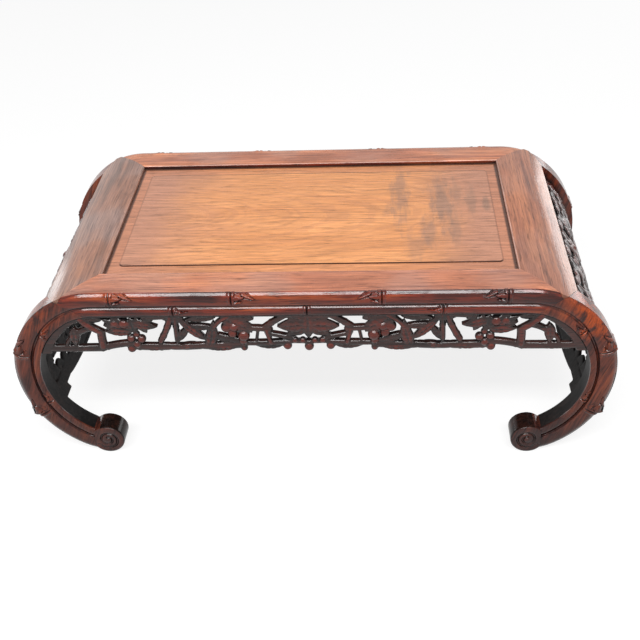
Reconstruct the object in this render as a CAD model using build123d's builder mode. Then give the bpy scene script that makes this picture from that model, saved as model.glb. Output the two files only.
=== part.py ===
from build123d import *
from math import acos, asin, atan2, cos, degrees, radians, sin, sqrt
import os

# Kang table with rolled ends and scroll feet. Millimetres, +X along the table, front = -Y, floor at Z = 0.

# ---- Overall size --------------------------------------------------------------------------------
table_length = 914.0
table_depth = 454.0
table_height = 310.5

# ---- The C curve of the rolled ends, from the top's flat down to the sole ------------------------
shoulder_radius = 126.3
shoulder_turn = 35.0
haunch_radius = 162.1
foot_radius = 86.7
foot_reach = 125.0
sole_flat = 0.8
scroll_radius = 26.5
scroll_offset = 2.5
scroll_edge_round = 4.0
scroll_groove = 2.0
scroll_eye = 12.0
scroll_ring = 4.0
foot_glue_share = 0.75

# ---- Legs and mouldings: a big cane and a thin cane side by side ---------------------------------
big_cane = 23.0
cane_groove = 2.0
thin_cane = 16.0
big_cane_rise = 6.0
thin_cane_rise = 5.0
thin_cane_setback = 1.5
leg_thickness = 37.0
leg_head_outer_turn = 23.6
leg_head_inner_turn = 6.0

# ---- Top frame and its floating panel ------------------------------------------------------------
frame_width = 60.3
end_member_flat = 9.2
frame_edge_round = 2.5
panel_drop = 6.0
panel_thickness = 12.0
field_rise = 1.0
field_margin_end = 19.0
field_margin_side = 26.5
field_corner = 7.0
panel_tongue = 6.0
panel_tongue_reach = 7.5
panel_gap = 0.4
batten_width = 30.0
batten_thickness = 16.0
batten_end_distance = 101.2
batten_tenon_width = 22.0
batten_tenon_reach = 10.0

# ---- Bead rails and aprons -----------------------------------------------------------------------
bead_rail_depth = 22.0
bead_tongue = 6.6
bead_tongue_reach = 4.0
apron_thickness = 12.0
apron_setback = 7.0
apron_height = 59.5
apron_end_height = 69.0
apron_tongue = 7.6
apron_tongue_reach = 5.0
apron_tongue_turn = 32.0
carving_strip = 4.0
spandrel_width = 17.0
stem_width = 5.0
branch_width = 8.5

# ---- End panels ----------------------------------------------------------------------------------
end_panel_recess = 8.0
end_panel_thickness = 12.0
end_panel_bottom = 62.0
end_panel_step = 8.0
end_panel_ear = 52.0
end_panel_cusp = 20.0
end_panel_border = 15.0
window_corner = 8.0
end_panel_tongue = 6.0
end_panel_tongue_reach = 6.0

# ---- Fits and fasteners --------------------------------------------------------------------------
fit = 0.2
overrun = 1.0
turn_overrun = 1.0
mitre_dowel_radius = 3.5
mitre_dowel_length = 36.0
mitre_dowel_shares = (0.32, 0.66)
head_dowel_radius = 2.5
head_dowel_length = 18.0
head_dowel_shares = ((0.30, 0.50), (0.68, 0.36))
foot_dowel_radius = 3.0
foot_dowel_length = 22.0
foot_dowel_shares = (0.3, 0.7)
pin_radius = 1.5
pin_length = 12.0
apron_pin_spacing = 130.0
end_pin_spacing = 120.0

# ---- Worked out from the sizes above -------------------------------------------------------------
half_length = table_length / 2
half_depth = table_depth / 2
leg_band = big_cane + cane_groove + thin_cane
leg_back = half_depth - leg_thickness
shoulder_x = half_length - haunch_radius - (shoulder_radius - haunch_radius) * sin(radians(shoulder_turn))
shoulder_z = table_height - shoulder_radius
haunch_x = half_length - haunch_radius
knee_z = shoulder_z + (shoulder_radius - haunch_radius) * cos(radians(shoulder_turn))
knee_rise = knee_z + sole_flat
shin_radius = (foot_reach**2 + knee_rise**2 - 2 * knee_rise * foot_radius) / (2 * (foot_reach - foot_radius))
shin_x = half_length - shin_radius
sole_x = half_length - foot_reach
foot_z = foot_radius - sole_flat
shin_turn = 90 + Vector(1, 0).get_angle(Vector(sole_x - shin_x, knee_z - foot_z))
scroll_x = sole_x + scroll_offset
scroll_z = scroll_radius - sole_flat
foot_glue_x = scroll_x + scroll_radius * foot_glue_share
foot_room_height = 2.5 * scroll_radius
opening_x = shoulder_x - end_member_flat
opening_y = half_depth - frame_width
big_cane_back = half_depth - big_cane_rise
thin_cane_front = half_depth - thin_cane_setback
thin_cane_back = thin_cane_front - thin_cane_rise
thin_cane_top = -big_cane - cane_groove
thin_cane_crest = (-thin_cane_front, thin_cane_top - thin_cane / 2)
bead_back = thin_cane_front - bead_rail_depth
bead_mid = bead_back + bead_rail_depth / 2
carving_top = table_height - leg_band
apron_end_z = carving_top - apron_end_height
apron_front = half_depth - apron_setback
apron_back = apron_front - apron_thickness
apron_mid = (apron_front + apron_back) / 2
apron_end_turn = degrees(acos((apron_end_z - knee_z) / (haunch_radius - leg_band)))
apron_past_turn = apron_end_turn + 10
turn_fit = degrees(2 * fit / shoulder_radius)
panel_top = table_height - panel_drop
panel_bottom = panel_top - panel_thickness
tongue_z = panel_top - panel_thickness / 2
groove_reach = panel_tongue_reach + panel_gap
batten_spacing = opening_x - batten_end_distance
batten_tenon_bottom = table_height - big_cane
batten_tenon_height = panel_bottom - batten_tenon_bottom
tongue_outer = end_panel_recess + (end_panel_thickness - end_panel_tongue) / 2
tongue_inner = tongue_outer + end_panel_tongue
tongue_turn = degrees(end_panel_tongue_reach / (shoulder_radius - tongue_outer))
end_panel_end_turn = 90 + degrees(asin((knee_z - end_panel_bottom) / (shin_radius - tongue_inner)))
end_panel_last_turn = end_panel_end_turn + turn_overrun

# Each arc of the C curve: centre, radius, and the turn from level where it begins and ends.
c_arcs = [
    ((shoulder_x, shoulder_z), shoulder_radius, 0.0, shoulder_turn),
    ((haunch_x, knee_z), haunch_radius, shoulder_turn, 90.0),
    ((shin_x, knee_z), shin_radius, 90.0, shin_turn),
    ((sole_x, foot_z), foot_radius, shin_turn, 180.0),
]


def c_point(turn, inset):
    """Point (x, z) on the C curve, where it has turned by this angle, set in from the outer face."""
    for centre, radius, first, last in c_arcs:
        if turn <= last:
            break
    reach = radius - inset
    return (centre[0] + reach * sin(radians(turn)), centre[1] + reach * cos(radians(turn)))


def c_curve(inset, first_turn, last_turn):
    """Draw the C curve between two turns, in the line that is being built."""
    for centre, radius, first, last in c_arcs:
        start = max(first, first_turn)
        end = min(last, last_turn)
        if end - start > 0.01:
            CenterArc(centre, radius - inset, 90 - start, start - end)


def c_band(outer_inset, inner_inset, first_turn, last_turn):
    """Face between two insets of the C curve, in the sketch that is being built."""
    with BuildLine() as outline:
        c_curve(outer_inset, first_turn, last_turn)
        Line(c_point(last_turn, outer_inset), c_point(last_turn, inner_inset))
        c_curve(inner_inset, first_turn, last_turn)
        Line(c_point(first_turn, outer_inset), c_point(first_turn, inner_inset))
    make_face(outline.edges())


def corner_vector(turn, inset, y):
    x, z = c_point(turn, inset)
    return Vector(x, y, z)


def save_as(name, solid, *mirror_planes):
    """Write the solid as this node, turned over about the given planes."""
    for about in mirror_planes:
        solid = mirror(solid, about=about)
    with BuildPart() as node:
        add(solid)
    node.part.label = name
    export_step(node.part, f"parts/{name}.step")


def save_corners(prefix, solid):
    """Write the front right solid and its three mirror images."""
    save_as(f"{prefix}_front_right", solid)
    save_as(f"{prefix}_front_left", solid, Plane.YZ)
    save_as(f"{prefix}_rear_right", solid, Plane.XZ)
    save_as(f"{prefix}_rear_left", solid, Plane.YZ, Plane.XZ)


def stroke(start, end, width, sag=0.0, mode=Mode.ADD):
    """A carved stem with round ends between two points, straight or bowed to its left by the sag."""
    start = Vector(*start)
    end = Vector(*end)
    run = end - start
    side = Vector(-run.Y, run.X).normalized() * width / 2
    crown = (start + end) / 2 + side.normalized() * sag
    bend = degrees(2 * atan2(2 * sag, run.length))
    start_side = side.rotate(Axis.Z, bend)
    end_side = side.rotate(Axis.Z, -bend)
    with BuildLine() as outline:
        ThreePointArc(end + end_side, end + end_side.rotate(Axis.Z, -90), end - end_side)
        ThreePointArc(start - start_side, start - start_side.rotate(Axis.Z, -90), start + start_side)
        if abs(sag) < 0.1:
            Line(start + start_side, end + end_side)
            Line(end - end_side, start - start_side)
        else:
            ThreePointArc(start + start_side, crown + side, end + end_side)
            ThreePointArc(end - end_side, crown - side, start - start_side)
    make_face(outline.edges(), mode=mode)


def leaf(base, tip, width, mode=Mode.ADD):
    """A carved leaf: two bowed edges from its base to its tip."""
    run = Vector(*tip) - Vector(*base)
    middle = (Vector(*base) + Vector(*tip)) / 2
    aside = Vector(-run.Y, run.X).normalized() * width / 2
    with BuildLine() as outline:
        ThreePointArc(base, middle + aside, tip)
        ThreePointArc(tip, middle - aside, base)
    make_face(outline.edges(), mode=mode)


def disc(centre, radius, mode=Mode.ADD):
    """A carved berry."""
    with Locations(centre):
        Circle(radius, mode=mode)


os.makedirs("parts", exist_ok=True)

# The slanted joint at the front right leg's head: the leg lies on the side that its plane faces.
head_outer = corner_vector(leg_head_outer_turn, 0, -half_depth)
head_across = corner_vector(leg_head_inner_turn, leg_band, -half_depth) - head_outer
head_inward = corner_vector(shoulder_turn, 0, -leg_back) - head_outer
head_plane = Plane(origin=head_outer, x_dir=head_across, z_dir=head_across.cross(head_inward))
# The frame's mitre at the same corner: the end member lies on the side that its plane faces.
mitre_plane = Plane(origin=(opening_x, -opening_y, 0), x_dir=(1, -1, 0), z_dir=(1, 1, 0))


# ---- Dowels of the joints, at the front right corner ---------------------------------------------
with BuildPart() as mitre_dowel:
    for share in mitre_dowel_shares:
        along = share * frame_width
        bend = max(0.0, opening_x + along - shoulder_x)
        height = shoulder_z + sqrt(shoulder_radius**2 - bend**2) - big_cane / 2
        middle = Plane(origin=(opening_x + along, -opening_y - along, height), z_dir=(1, 1, 0))
        with BuildSketch(middle.offset(-mitre_dowel_length / 2)):
            Circle(mitre_dowel_radius)
        extrude(amount=mitre_dowel_length)

with BuildPart() as head_dowel:
    for across_share, inward_share in head_dowel_shares:
        centre = head_plane.origin + head_across * across_share + head_inward * inward_share
        with BuildSketch(Plane(origin=centre, z_dir=head_plane.z_dir).offset(-head_dowel_length / 2)):
            Circle(head_dowel_radius)
        extrude(amount=head_dowel_length)

with BuildPart() as foot_dowel:
    for share in foot_dowel_shares:
        spot = (foot_glue_x, -leg_back - leg_thickness * share, scroll_z - foot_dowel_radius)
        with BuildSketch(Plane(origin=spot, z_dir=(1, 0, 0)).offset(-foot_dowel_length / 2)):
            Circle(foot_dowel_radius)
        extrude(amount=foot_dowel_length)

with BuildPart() as apron_pins:
    with BuildSketch(Plane.XZ.offset(bead_back)):
        with Locations((0, carving_top + apron_tongue_reach / 2)):
            with GridLocations(apron_pin_spacing, 1, 5, 1):
                Circle(pin_radius)
    extrude(amount=pin_length)

with BuildPart() as end_pins:
    pin_turn = shoulder_turn - tongue_turn / 2
    pin_start = c_point(pin_turn, big_cane)
    outward = (sin(radians(pin_turn)), 0, cos(radians(pin_turn)))
    for step in (-1, 0, 1):
        spot = (pin_start[0], step * end_pin_spacing, pin_start[1])
        with BuildSketch(Plane(origin=spot, z_dir=outward)):
            Circle(pin_radius)
        extrude(amount=pin_length)


# ---- Leg and scroll foot, front right ------------------------------------------------------------
with BuildPart() as leg_blank:
    with BuildLine(Plane.XZ) as leg_path:
        c_curve(0, 0, 180)
    with BuildSketch(Plane(origin=(shoulder_x, 0, table_height), x_dir=(0, 1, 0), z_dir=(1, 0, 0))):
        with BuildLine():
            ThreePointArc((-big_cane_back, 0), (-half_depth, -big_cane / 2), (-big_cane_back, -big_cane))
            Line((-big_cane_back, -big_cane), (-thin_cane_back, thin_cane_top))
            ThreePointArc((-thin_cane_back, thin_cane_top), thin_cane_crest, (-thin_cane_back, -leg_band))
            Polyline((-thin_cane_back, -leg_band), (-leg_back, -leg_band), (-leg_back, 0),
                     (-big_cane_back, 0))
        make_face()
    sweep(path=leg_path.wire())

with BuildPart() as foot_space:
    with Locations((foot_glue_x, 0, 0)):
        Box(half_length, table_depth, foot_room_height, align=(Align.MAX, Align.CENTER, Align.MIN))

with BuildPart() as leg:
    add(leg_blank.part)
    split(bisect_by=head_plane, keep=Keep.TOP)
    split(bisect_by=Plane.XY, keep=Keep.TOP)
    add(foot_space.part, mode=Mode.SUBTRACT)
    with BuildSketch(Plane.XZ.offset(leg_back - overrun)):
        c_band(tongue_outer - fit, tongue_inner + fit, shoulder_turn, end_panel_last_turn)
    extrude(amount=end_panel_tongue_reach + fit + overrun, mode=Mode.SUBTRACT)
    with BuildSketch(Plane.XZ.offset(apron_mid - apron_tongue / 2 - fit)):
        c_band(leg_band - apron_tongue_reach - fit, leg_band + overrun, apron_tongue_turn - turn_fit,
               apron_past_turn)
        with Locations((0, apron_end_z - fit)):
            Rectangle(table_length, table_height, align=(Align.CENTER, Align.MIN), mode=Mode.INTERSECT)
    extrude(amount=apron_tongue + 2 * fit, mode=Mode.SUBTRACT)
    add(head_dowel.part, mode=Mode.SUBTRACT)
    add(foot_dowel.part, mode=Mode.SUBTRACT)
save_corners("leg", leg.part)

with BuildPart() as scroll_foot:
    with BuildSketch(Plane.XZ.offset(leg_back)):
        with Locations((scroll_x, scroll_z)):
            Circle(scroll_radius)
    extrude(amount=leg_thickness)
    fillet(scroll_foot.faces().sort_by(Axis.Y)[0].edges(), radius=scroll_edge_round)
    add(leg_blank.part.intersect(foot_space.part))
    add(foot_space.part, mode=Mode.INTERSECT)
    with BuildSketch(Plane.XZ.offset(half_depth)):
        with Locations((scroll_x, scroll_z)):
            Circle(scroll_eye + scroll_ring)
            Circle(scroll_eye, mode=Mode.SUBTRACT)
    extrude(amount=-scroll_groove, mode=Mode.SUBTRACT)
    add(foot_dowel.part, mode=Mode.SUBTRACT)
save_corners("scroll_foot", scroll_foot.part)


# ---- Top frame -----------------------------------------------------------------------------------
with BuildPart() as long_rail:
    with BuildLine(Plane.XZ) as rail_path:
        Line((0, table_height), (shoulder_x, table_height))
        c_curve(0, 0, shoulder_turn)
    with BuildSketch(Plane(origin=(0, 0, table_height), x_dir=(0, 1, 0), z_dir=(1, 0, 0))):
        with BuildLine():
            ThreePointArc((-big_cane_back, 0), (-half_depth, -big_cane / 2), (-big_cane_back, -big_cane))
            Polyline((-big_cane_back, -big_cane), (-opening_y, -big_cane), (-opening_y, -frame_edge_round))
            RadiusArc((-opening_y, -frame_edge_round), (-opening_y - frame_edge_round, 0), -frame_edge_round)
            Line((-opening_y - frame_edge_round, 0), (-big_cane_back, 0))
        make_face()
        with Locations((-opening_y, tongue_z - table_height)):
            Rectangle(2 * groove_reach, panel_tongue + 2 * fit, mode=Mode.SUBTRACT)
        with Locations((-bead_mid, -big_cane)):
            Rectangle(bead_tongue + 2 * fit, 2 * (bead_tongue_reach + fit), mode=Mode.SUBTRACT)
    sweep(path=rail_path.wire())
    split(bisect_by=head_plane, keep=Keep.BOTTOM)
    split(bisect_by=mitre_plane, keep=Keep.BOTTOM)
    add(mitre_dowel.part, mode=Mode.SUBTRACT)
    add(head_dowel.part, mode=Mode.SUBTRACT)
    mirror(about=Plane.YZ)
    for step in (-1, 0, 1):
        with Locations((step * batten_spacing, -opening_y, batten_tenon_bottom)):
            Box(batten_tenon_width + 2 * fit, 2 * batten_tenon_reach, batten_tenon_height + fit,
                align=(Align.CENTER, Align.CENTER, Align.MIN), mode=Mode.SUBTRACT)
save_as("top_front_rail", long_rail.part)
save_as("top_rear_rail", long_rail.part, Plane.XZ)

with BuildPart() as end_member:
    with BuildSketch(Plane.XZ.offset(-big_cane_back)) as end_profile:
        c_band(0, big_cane, 0, shoulder_turn)
        with Locations((opening_x, table_height)):
            Rectangle(end_member_flat, big_cane, align=(Align.MIN, Align.MAX))
        fillet(end_profile.vertices().sort_by(Axis.X)[:2].sort_by(Axis.Z)[-1], radius=frame_edge_round)
        with Locations((opening_x, tongue_z)):
            Rectangle(2 * groove_reach, panel_tongue + 2 * fit, mode=Mode.SUBTRACT)
    extrude(amount=2 * big_cane_back)
    with BuildSketch(Plane.XZ.offset(-leg_back + fit)):
        c_band(tongue_outer - fit, tongue_inner + fit, shoulder_turn - tongue_turn - turn_fit,
               shoulder_turn + turn_fit)
    extrude(amount=2 * (leg_back - fit), mode=Mode.SUBTRACT)
    split(bisect_by=head_plane, keep=Keep.BOTTOM)
    split(bisect_by=mitre_plane, keep=Keep.TOP)
    add(mitre_dowel.part, mode=Mode.SUBTRACT)
    add(head_dowel.part, mode=Mode.SUBTRACT)
    split(bisect_by=Plane.XZ, keep=Keep.TOP)
    mirror(about=Plane.XZ)
    add(end_pins.part, mode=Mode.SUBTRACT)
save_as("top_right_end", end_member.part)
save_as("top_left_end", end_member.part, Plane.YZ)

with BuildPart() as top_panel:
    with BuildSketch(Plane.XY.offset(panel_bottom)):
        Rectangle(2 * (opening_x - panel_gap), 2 * (opening_y - panel_gap))
    extrude(amount=panel_thickness)
    with BuildSketch(Plane.XY.offset(panel_top)):
        RectangleRounded(2 * (opening_x - field_margin_end), 2 * (opening_y - field_margin_side),
                         field_corner)
    extrude(amount=field_rise)
    with BuildSketch(Plane.XY.offset(tongue_z - panel_tongue / 2)):
        Rectangle(2 * (opening_x + panel_tongue_reach), 2 * (opening_y + panel_tongue_reach))
    extrude(amount=panel_tongue)
save_as("top_panel", top_panel.part)

for name, step in (("left", -1), ("centre", 0), ("right", 1)):
    with BuildPart() as batten:
        with Locations((step * batten_spacing, 0, panel_bottom)):
            Box(batten_width, 2 * (opening_y - fit), batten_thickness,
                align=(Align.CENTER, Align.CENTER, Align.MAX))
            Box(batten_tenon_width, 2 * (opening_y + batten_tenon_reach - fit), batten_tenon_height,
                align=(Align.CENTER, Align.CENTER, Align.MAX))
    save_as(f"panel_batten_{name}", batten.part)


# ---- Bead rails ----------------------------------------------------------------------------------
with BuildPart() as bead_rail:
    with BuildLine(Plane.XZ) as bead_path:
        Line((0, table_height), (shoulder_x, table_height))
        c_curve(0, 0, shoulder_turn)
    with BuildSketch(Plane(origin=(0, 0, table_height), x_dir=(0, 1, 0), z_dir=(1, 0, 0))):
        with BuildLine():
            ThreePointArc((-thin_cane_back, thin_cane_top), thin_cane_crest, (-thin_cane_back, -leg_band))
            Polyline((-thin_cane_back, -leg_band), (-bead_back, -leg_band), (-bead_back, -big_cane),
                     (cane_groove - thin_cane_back, -big_cane), (-thin_cane_back, thin_cane_top))
        make_face()
        with Locations((-apron_mid, -leg_band)):
            Rectangle(apron_tongue + 2 * fit, 2 * (apron_tongue_reach + fit), mode=Mode.SUBTRACT)
    sweep(path=bead_path.wire())
    split(bisect_by=head_plane, keep=Keep.BOTTOM)
    add(head_dowel.part, mode=Mode.SUBTRACT)
    mirror(about=Plane.YZ)
    with Locations((0, -bead_mid, table_height - big_cane)):
        Box(2 * opening_x, bead_tongue, bead_tongue_reach, align=(Align.CENTER, Align.CENTER, Align.MIN))
    add(apron_pins.part, mode=Mode.SUBTRACT)
save_as("front_bead_rail", bead_rail.part)
save_as("rear_bead_rail", bead_rail.part, Plane.XZ)


# ---- Aprons: pierced grapevine and bamboo --------------------------------------------------------
def at(x, share):
    """Point of the carving: its distance from the table's centre line, and its share of the way down."""
    return (x, carving_top - share * apron_height)


def from_leg(distance, share):
    """The same, measured back from where the carving's lower end meets the leg."""
    return at(carving_end_x - distance, share)


carving_end_x = c_point(apron_end_turn, leg_band)[0]
with BuildPart() as apron:
    with BuildSketch(Plane.XZ.offset(apron_back)) as carving:
        # solid spandrel beside the leg, top strip and lower branch
        c_band(leg_band + fit, leg_band + spandrel_width, leg_head_inner_turn, apron_past_turn)
        with Locations((half_length, apron_end_z)):
            Rectangle(table_length, table_height, align=(Align.CENTER, Align.MIN), mode=Mode.INTERSECT)
        with Locations((0, carving_top)):
            Rectangle(2 * shoulder_x, carving_strip, align=(Align.CENTER, Align.MAX))
        stroke(at(-2, 0.86), at(64, 0.94), branch_width, -2)
        stroke(at(60, 0.92), at(190, 0.94), branch_width, 2)
        stroke(at(186, 0.93), at(300, 0.92), branch_width, -2)
        stroke(at(296, 0.93), from_leg(branch_width / 2, 1.09), branch_width)
        # the pair of grape leaves at the centre, with berries under them
        leaf(at(-4, 0.30), at(43, 0.48), 26)
        leaf(at(-2, 0.30), at(25, 0.02), 15)
        leaf(at(-2, 0.35), at(24, 0.86), 16)
        leaf(at(0, 0.02), at(0, 0.92), 20)
        for x, share, radius in ((4, 1.0, 5.5), (30, 0.97, 5.5), (17, 0.86, 4.5)):
            disc(at(x, share), radius)
        # crossing stems, then the hanging leaf with its berries
        stroke(at(36, 0.0), at(66, 0.88), stem_width, 2)
        stroke(at(64, 0.0), at(38, 0.9), stem_width, -2)
        leaf(at(72, 0.22), at(128, 0.22), 34)
        leaf(at(84, 0.05), at(124, 0.52), 26)
        for x, share, radius in ((114, 0.48, 6.5), (103, 0.60, 5.5), (91, 0.70, 6.5), (89, 1.02, 4.5)):
            disc(at(x, share), radius)
        stroke(at(90, 0.66), at(89, 0.95), stem_width)
        # bamboo leaves leaning together
        leaf(at(146, 0.92), at(136, 0.02), 13)
        leaf(at(146, 0.90), at(176, 0.02), 12)
        leaf(at(182, 0.88), at(158, 0.02), 13)
        stroke(at(126, 0.05), at(160, 0.60), stem_width, 2)
        stroke(at(184, 0.9), at(213, 0.0), 6.5, 2)
        stroke(at(196, 0.55), at(226, 0.15), stem_width, -3)
        # grape leaf with its bunch, then the flower bud
        leaf(at(212, 0.30), at(262, 0.30), 34)
        leaf(at(236, 0.02), at(240, 0.72), 24)
        for x, share, radius in ((238, 0.78, 6.5), (249, 0.74, 6.5), (244, 0.94, 6.5), (256, 0.90, 5.5)):
            disc(at(x, share), radius)
        leaf(at(252, 0.32), at(300, 0.30), 34)
        leaf(at(264, 0.02), at(284, 0.58), 22)
        # arching stem and the sprigs beside the leg
        stroke(at(322, 0.02), at(296, 0.96), 8, 7)
        stroke(at(300, 0.16), at(326, 0.16), 6, 1)
        stroke(from_leg(88, 1.0), from_leg(46, 0.42), stem_width, 3)
        stroke(from_leg(70, 1.0), from_leg(54, 0.5), stem_width, -2)
        # kept clear of the bead rail above and of the leg's inner face
        with BuildLine() as room:
            Polyline((shoulder_x, carving_top - fit), (-shoulder_x, carving_top - fit), (-shoulder_x, 0),
                     (carving_end_x, 0), c_point(90, leg_band + fit))
            c_curve(leg_band + fit, 0, 90)
        make_face(room.edges(), mode=Mode.INTERSECT)
        mirror(about=Plane.YZ)
    extrude(amount=apron_thickness)
    with BuildSketch(Plane.XZ.offset(apron_mid - apron_tongue / 2)):
        with Locations((0, carving_top - overrun)):
            Rectangle(2 * shoulder_x, apron_tongue_reach + overrun, align=(Align.CENTER, Align.MIN))
        c_band(leg_band - apron_tongue_reach, leg_band + spandrel_width / 2, apron_tongue_turn,
               apron_past_turn)
        with Locations((half_length, apron_end_z)):
            Rectangle(table_length, table_height, align=(Align.CENTER, Align.MIN), mode=Mode.INTERSECT)
        mirror(about=Plane.YZ)
    extrude(amount=apron_tongue)
    add(apron_pins.part, mode=Mode.SUBTRACT)
save_as("front_apron", apron.part)
save_as("rear_apron", apron.part, Plane.XZ)


# ---- End panels ----------------------------------------------------------------------------------
window_z = c_point(shoulder_turn, end_panel_recess)[1] - end_panel_border
window_bottom = end_panel_bottom + end_panel_step + end_panel_border
window_y = leg_back - end_panel_border
window_height = window_z - window_bottom


def on_end(y, share):
    """Point of the end carving: its distance from the middle, and its share of the way down the window."""
    return (y, window_z - share * window_height)


with BuildPart() as end_panel:
    with BuildSketch(Plane.XZ.offset(-leg_back + fit)):
        c_band(end_panel_recess, end_panel_recess + end_panel_thickness, shoulder_turn, end_panel_last_turn)
    extrude(amount=2 * (leg_back - fit))
    with BuildSketch(Plane.XZ.offset(-leg_back - end_panel_tongue_reach)):
        c_band(tongue_outer, tongue_inner, shoulder_turn + turn_overrun, end_panel_last_turn)
    extrude(amount=2 * (leg_back + end_panel_tongue_reach))
    with BuildSketch(Plane.XZ.offset(-leg_back + 2 * fit)):
        c_band(tongue_outer, tongue_inner, shoulder_turn - tongue_turn, shoulder_turn + turn_overrun)
    extrude(amount=2 * (leg_back - 2 * fit))
    with BuildSketch(Plane.YZ):
        with BuildLine():
            ear_y = leg_back - end_panel_ear
            cusp_y = ear_y - end_panel_cusp
            cusp_z = end_panel_bottom + end_panel_step
            Polyline((0, table_height), (table_depth, table_height), (table_depth, end_panel_bottom),
                     (ear_y, end_panel_bottom))
            RadiusArc((ear_y, end_panel_bottom), (cusp_y, cusp_z), -end_panel_cusp)
            Polyline((cusp_y, cusp_z), (0, end_panel_bottom + end_panel_step / 4), (0, table_height))
        make_face()
        mirror(about=Plane.YZ)
    extrude(amount=table_length, mode=Mode.INTERSECT)
    with BuildSketch(Plane.YZ):
        with Locations((0, window_bottom)):
            RectangleRounded(2 * window_y, window_height, window_corner, align=(Align.CENTER, Align.MIN))
        for side in (-1, 1):
            stroke(on_end(side * 170, 0.95), on_end(side * 95, 0.05), 8, -side * 10, mode=Mode.SUBTRACT)
            stroke(on_end(side * 130, 1.02), on_end(side * 165, 0.3), 6, side * 4, mode=Mode.SUBTRACT)
            stroke(on_end(0, 1.02), on_end(side * 70, 0.0), 8, side * 8, mode=Mode.SUBTRACT)
            stroke(on_end(side * 60, 1.02), on_end(side * 8, -0.02), 6, -side * 6, mode=Mode.SUBTRACT)
            stroke(on_end(side * 92, 1.02), on_end(side * 150, 0.0), 6, side * 6, mode=Mode.SUBTRACT)
            leaf(on_end(side * 150, 0.55), on_end(side * 100, 0.78), 26, mode=Mode.SUBTRACT)
            leaf(on_end(side * 42, 0.42), on_end(side * 120, 0.38), 30, mode=Mode.SUBTRACT)
            leaf(on_end(side * 150, 0.06), on_end(side * 148, 0.42), 22, mode=Mode.SUBTRACT)
            leaf(on_end(side * 30, 0.95), on_end(side * 84, 0.86), 20, mode=Mode.SUBTRACT)
            for y, share in ((20, 0.52), (31, 0.60), (20, 0.68)):
                disc(on_end(side * y, share), 8, mode=Mode.SUBTRACT)
        leaf(on_end(0, -0.05), on_end(0, 0.44), 34, mode=Mode.SUBTRACT)
        disc(on_end(0, 0.78), 9, mode=Mode.SUBTRACT)
    extrude(amount=table_length, mode=Mode.SUBTRACT)
    add(end_pins.part, mode=Mode.SUBTRACT)
save_as("right_end_panel", end_panel.part)
save_as("left_end_panel", end_panel.part, Plane.YZ)


# ---- Fasteners, one node for each kind -----------------------------------------------------------
corner_dowels = {"mitre_dowels": mitre_dowel, "leg_head_dowels": head_dowel, "scroll_foot_dowels": foot_dowel}
for name, corner in corner_dowels.items():
    with BuildPart() as dowels:
        add(corner.part)
        mirror(about=Plane.YZ)
        mirror(about=Plane.XZ)
    save_as(name, dowels.part)

with BuildPart() as all_apron_pins:
    add(apron_pins.part)
    mirror(about=Plane.XZ)
save_as("apron_pins", all_apron_pins.part)

with BuildPart() as all_end_pins:
    add(end_pins.part)
    mirror(about=Plane.YZ)
save_as("end_panel_pins", all_end_pins.part)
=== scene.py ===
# %% [markdown]
# # A kang table with rolled ends
#
# A kang table is a low hardwood table for use on a kang, a raised heated platform. Its top rolls
# down at both ends into C-curved legs that finish in scrolls. The construction comes in as a packed
# frame of named solids. This file gives each visible piece its finish, and carves again, in finer
# detail, the pieces whose solids are plain: the bamboo mouldings, the legs, the scroll feet, the
# pierced aprons and the end panels.

# %% Load the construction
from math import atan2, cos, exp, hypot, log, pi, radians, sin, sqrt, tau

import bpy
from mathutils import Matrix, Vector


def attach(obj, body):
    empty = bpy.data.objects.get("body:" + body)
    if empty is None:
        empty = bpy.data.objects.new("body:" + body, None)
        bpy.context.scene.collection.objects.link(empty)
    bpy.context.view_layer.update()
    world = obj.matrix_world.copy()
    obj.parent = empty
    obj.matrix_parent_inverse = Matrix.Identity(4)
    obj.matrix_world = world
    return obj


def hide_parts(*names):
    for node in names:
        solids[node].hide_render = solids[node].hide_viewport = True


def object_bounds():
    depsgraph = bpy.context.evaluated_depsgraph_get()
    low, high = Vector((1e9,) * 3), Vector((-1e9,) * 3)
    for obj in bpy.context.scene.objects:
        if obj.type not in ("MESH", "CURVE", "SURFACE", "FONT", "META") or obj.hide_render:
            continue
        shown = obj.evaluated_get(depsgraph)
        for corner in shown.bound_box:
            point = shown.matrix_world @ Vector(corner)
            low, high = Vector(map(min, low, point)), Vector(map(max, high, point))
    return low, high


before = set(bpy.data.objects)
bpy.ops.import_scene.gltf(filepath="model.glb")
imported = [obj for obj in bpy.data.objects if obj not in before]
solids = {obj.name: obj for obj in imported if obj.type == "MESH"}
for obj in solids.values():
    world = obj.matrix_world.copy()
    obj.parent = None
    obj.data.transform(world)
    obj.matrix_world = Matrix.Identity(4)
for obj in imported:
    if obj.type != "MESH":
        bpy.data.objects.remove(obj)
cad_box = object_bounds()
mm = 0.001
half_length, half_depth, table_height = cad_box[1]
print("table", [round(2 * half_length, 3), round(2 * half_depth, 3), round(table_height, 3)])

# %% [markdown]
# ## The C curve
#
# Everything at the ends follows one curve: flat top, shoulder, haunch, shin and foot, four arcs
# that run into each other. A point of any piece is then given by three numbers: how far along the
# outer face it lies, its place across the table, and how deep it is set in from that face. One
# function turns those into a place, so the mouldings, the legs and the end panels all meet.

# %% The C curve in arcs
shoulder_radius = 126.3 * mm
shoulder_turn = radians(35)
haunch_radius = 162.1 * mm
foot_radius = 86.7 * mm
foot_reach = 125 * mm
sole_flat = 0.8 * mm

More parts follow.
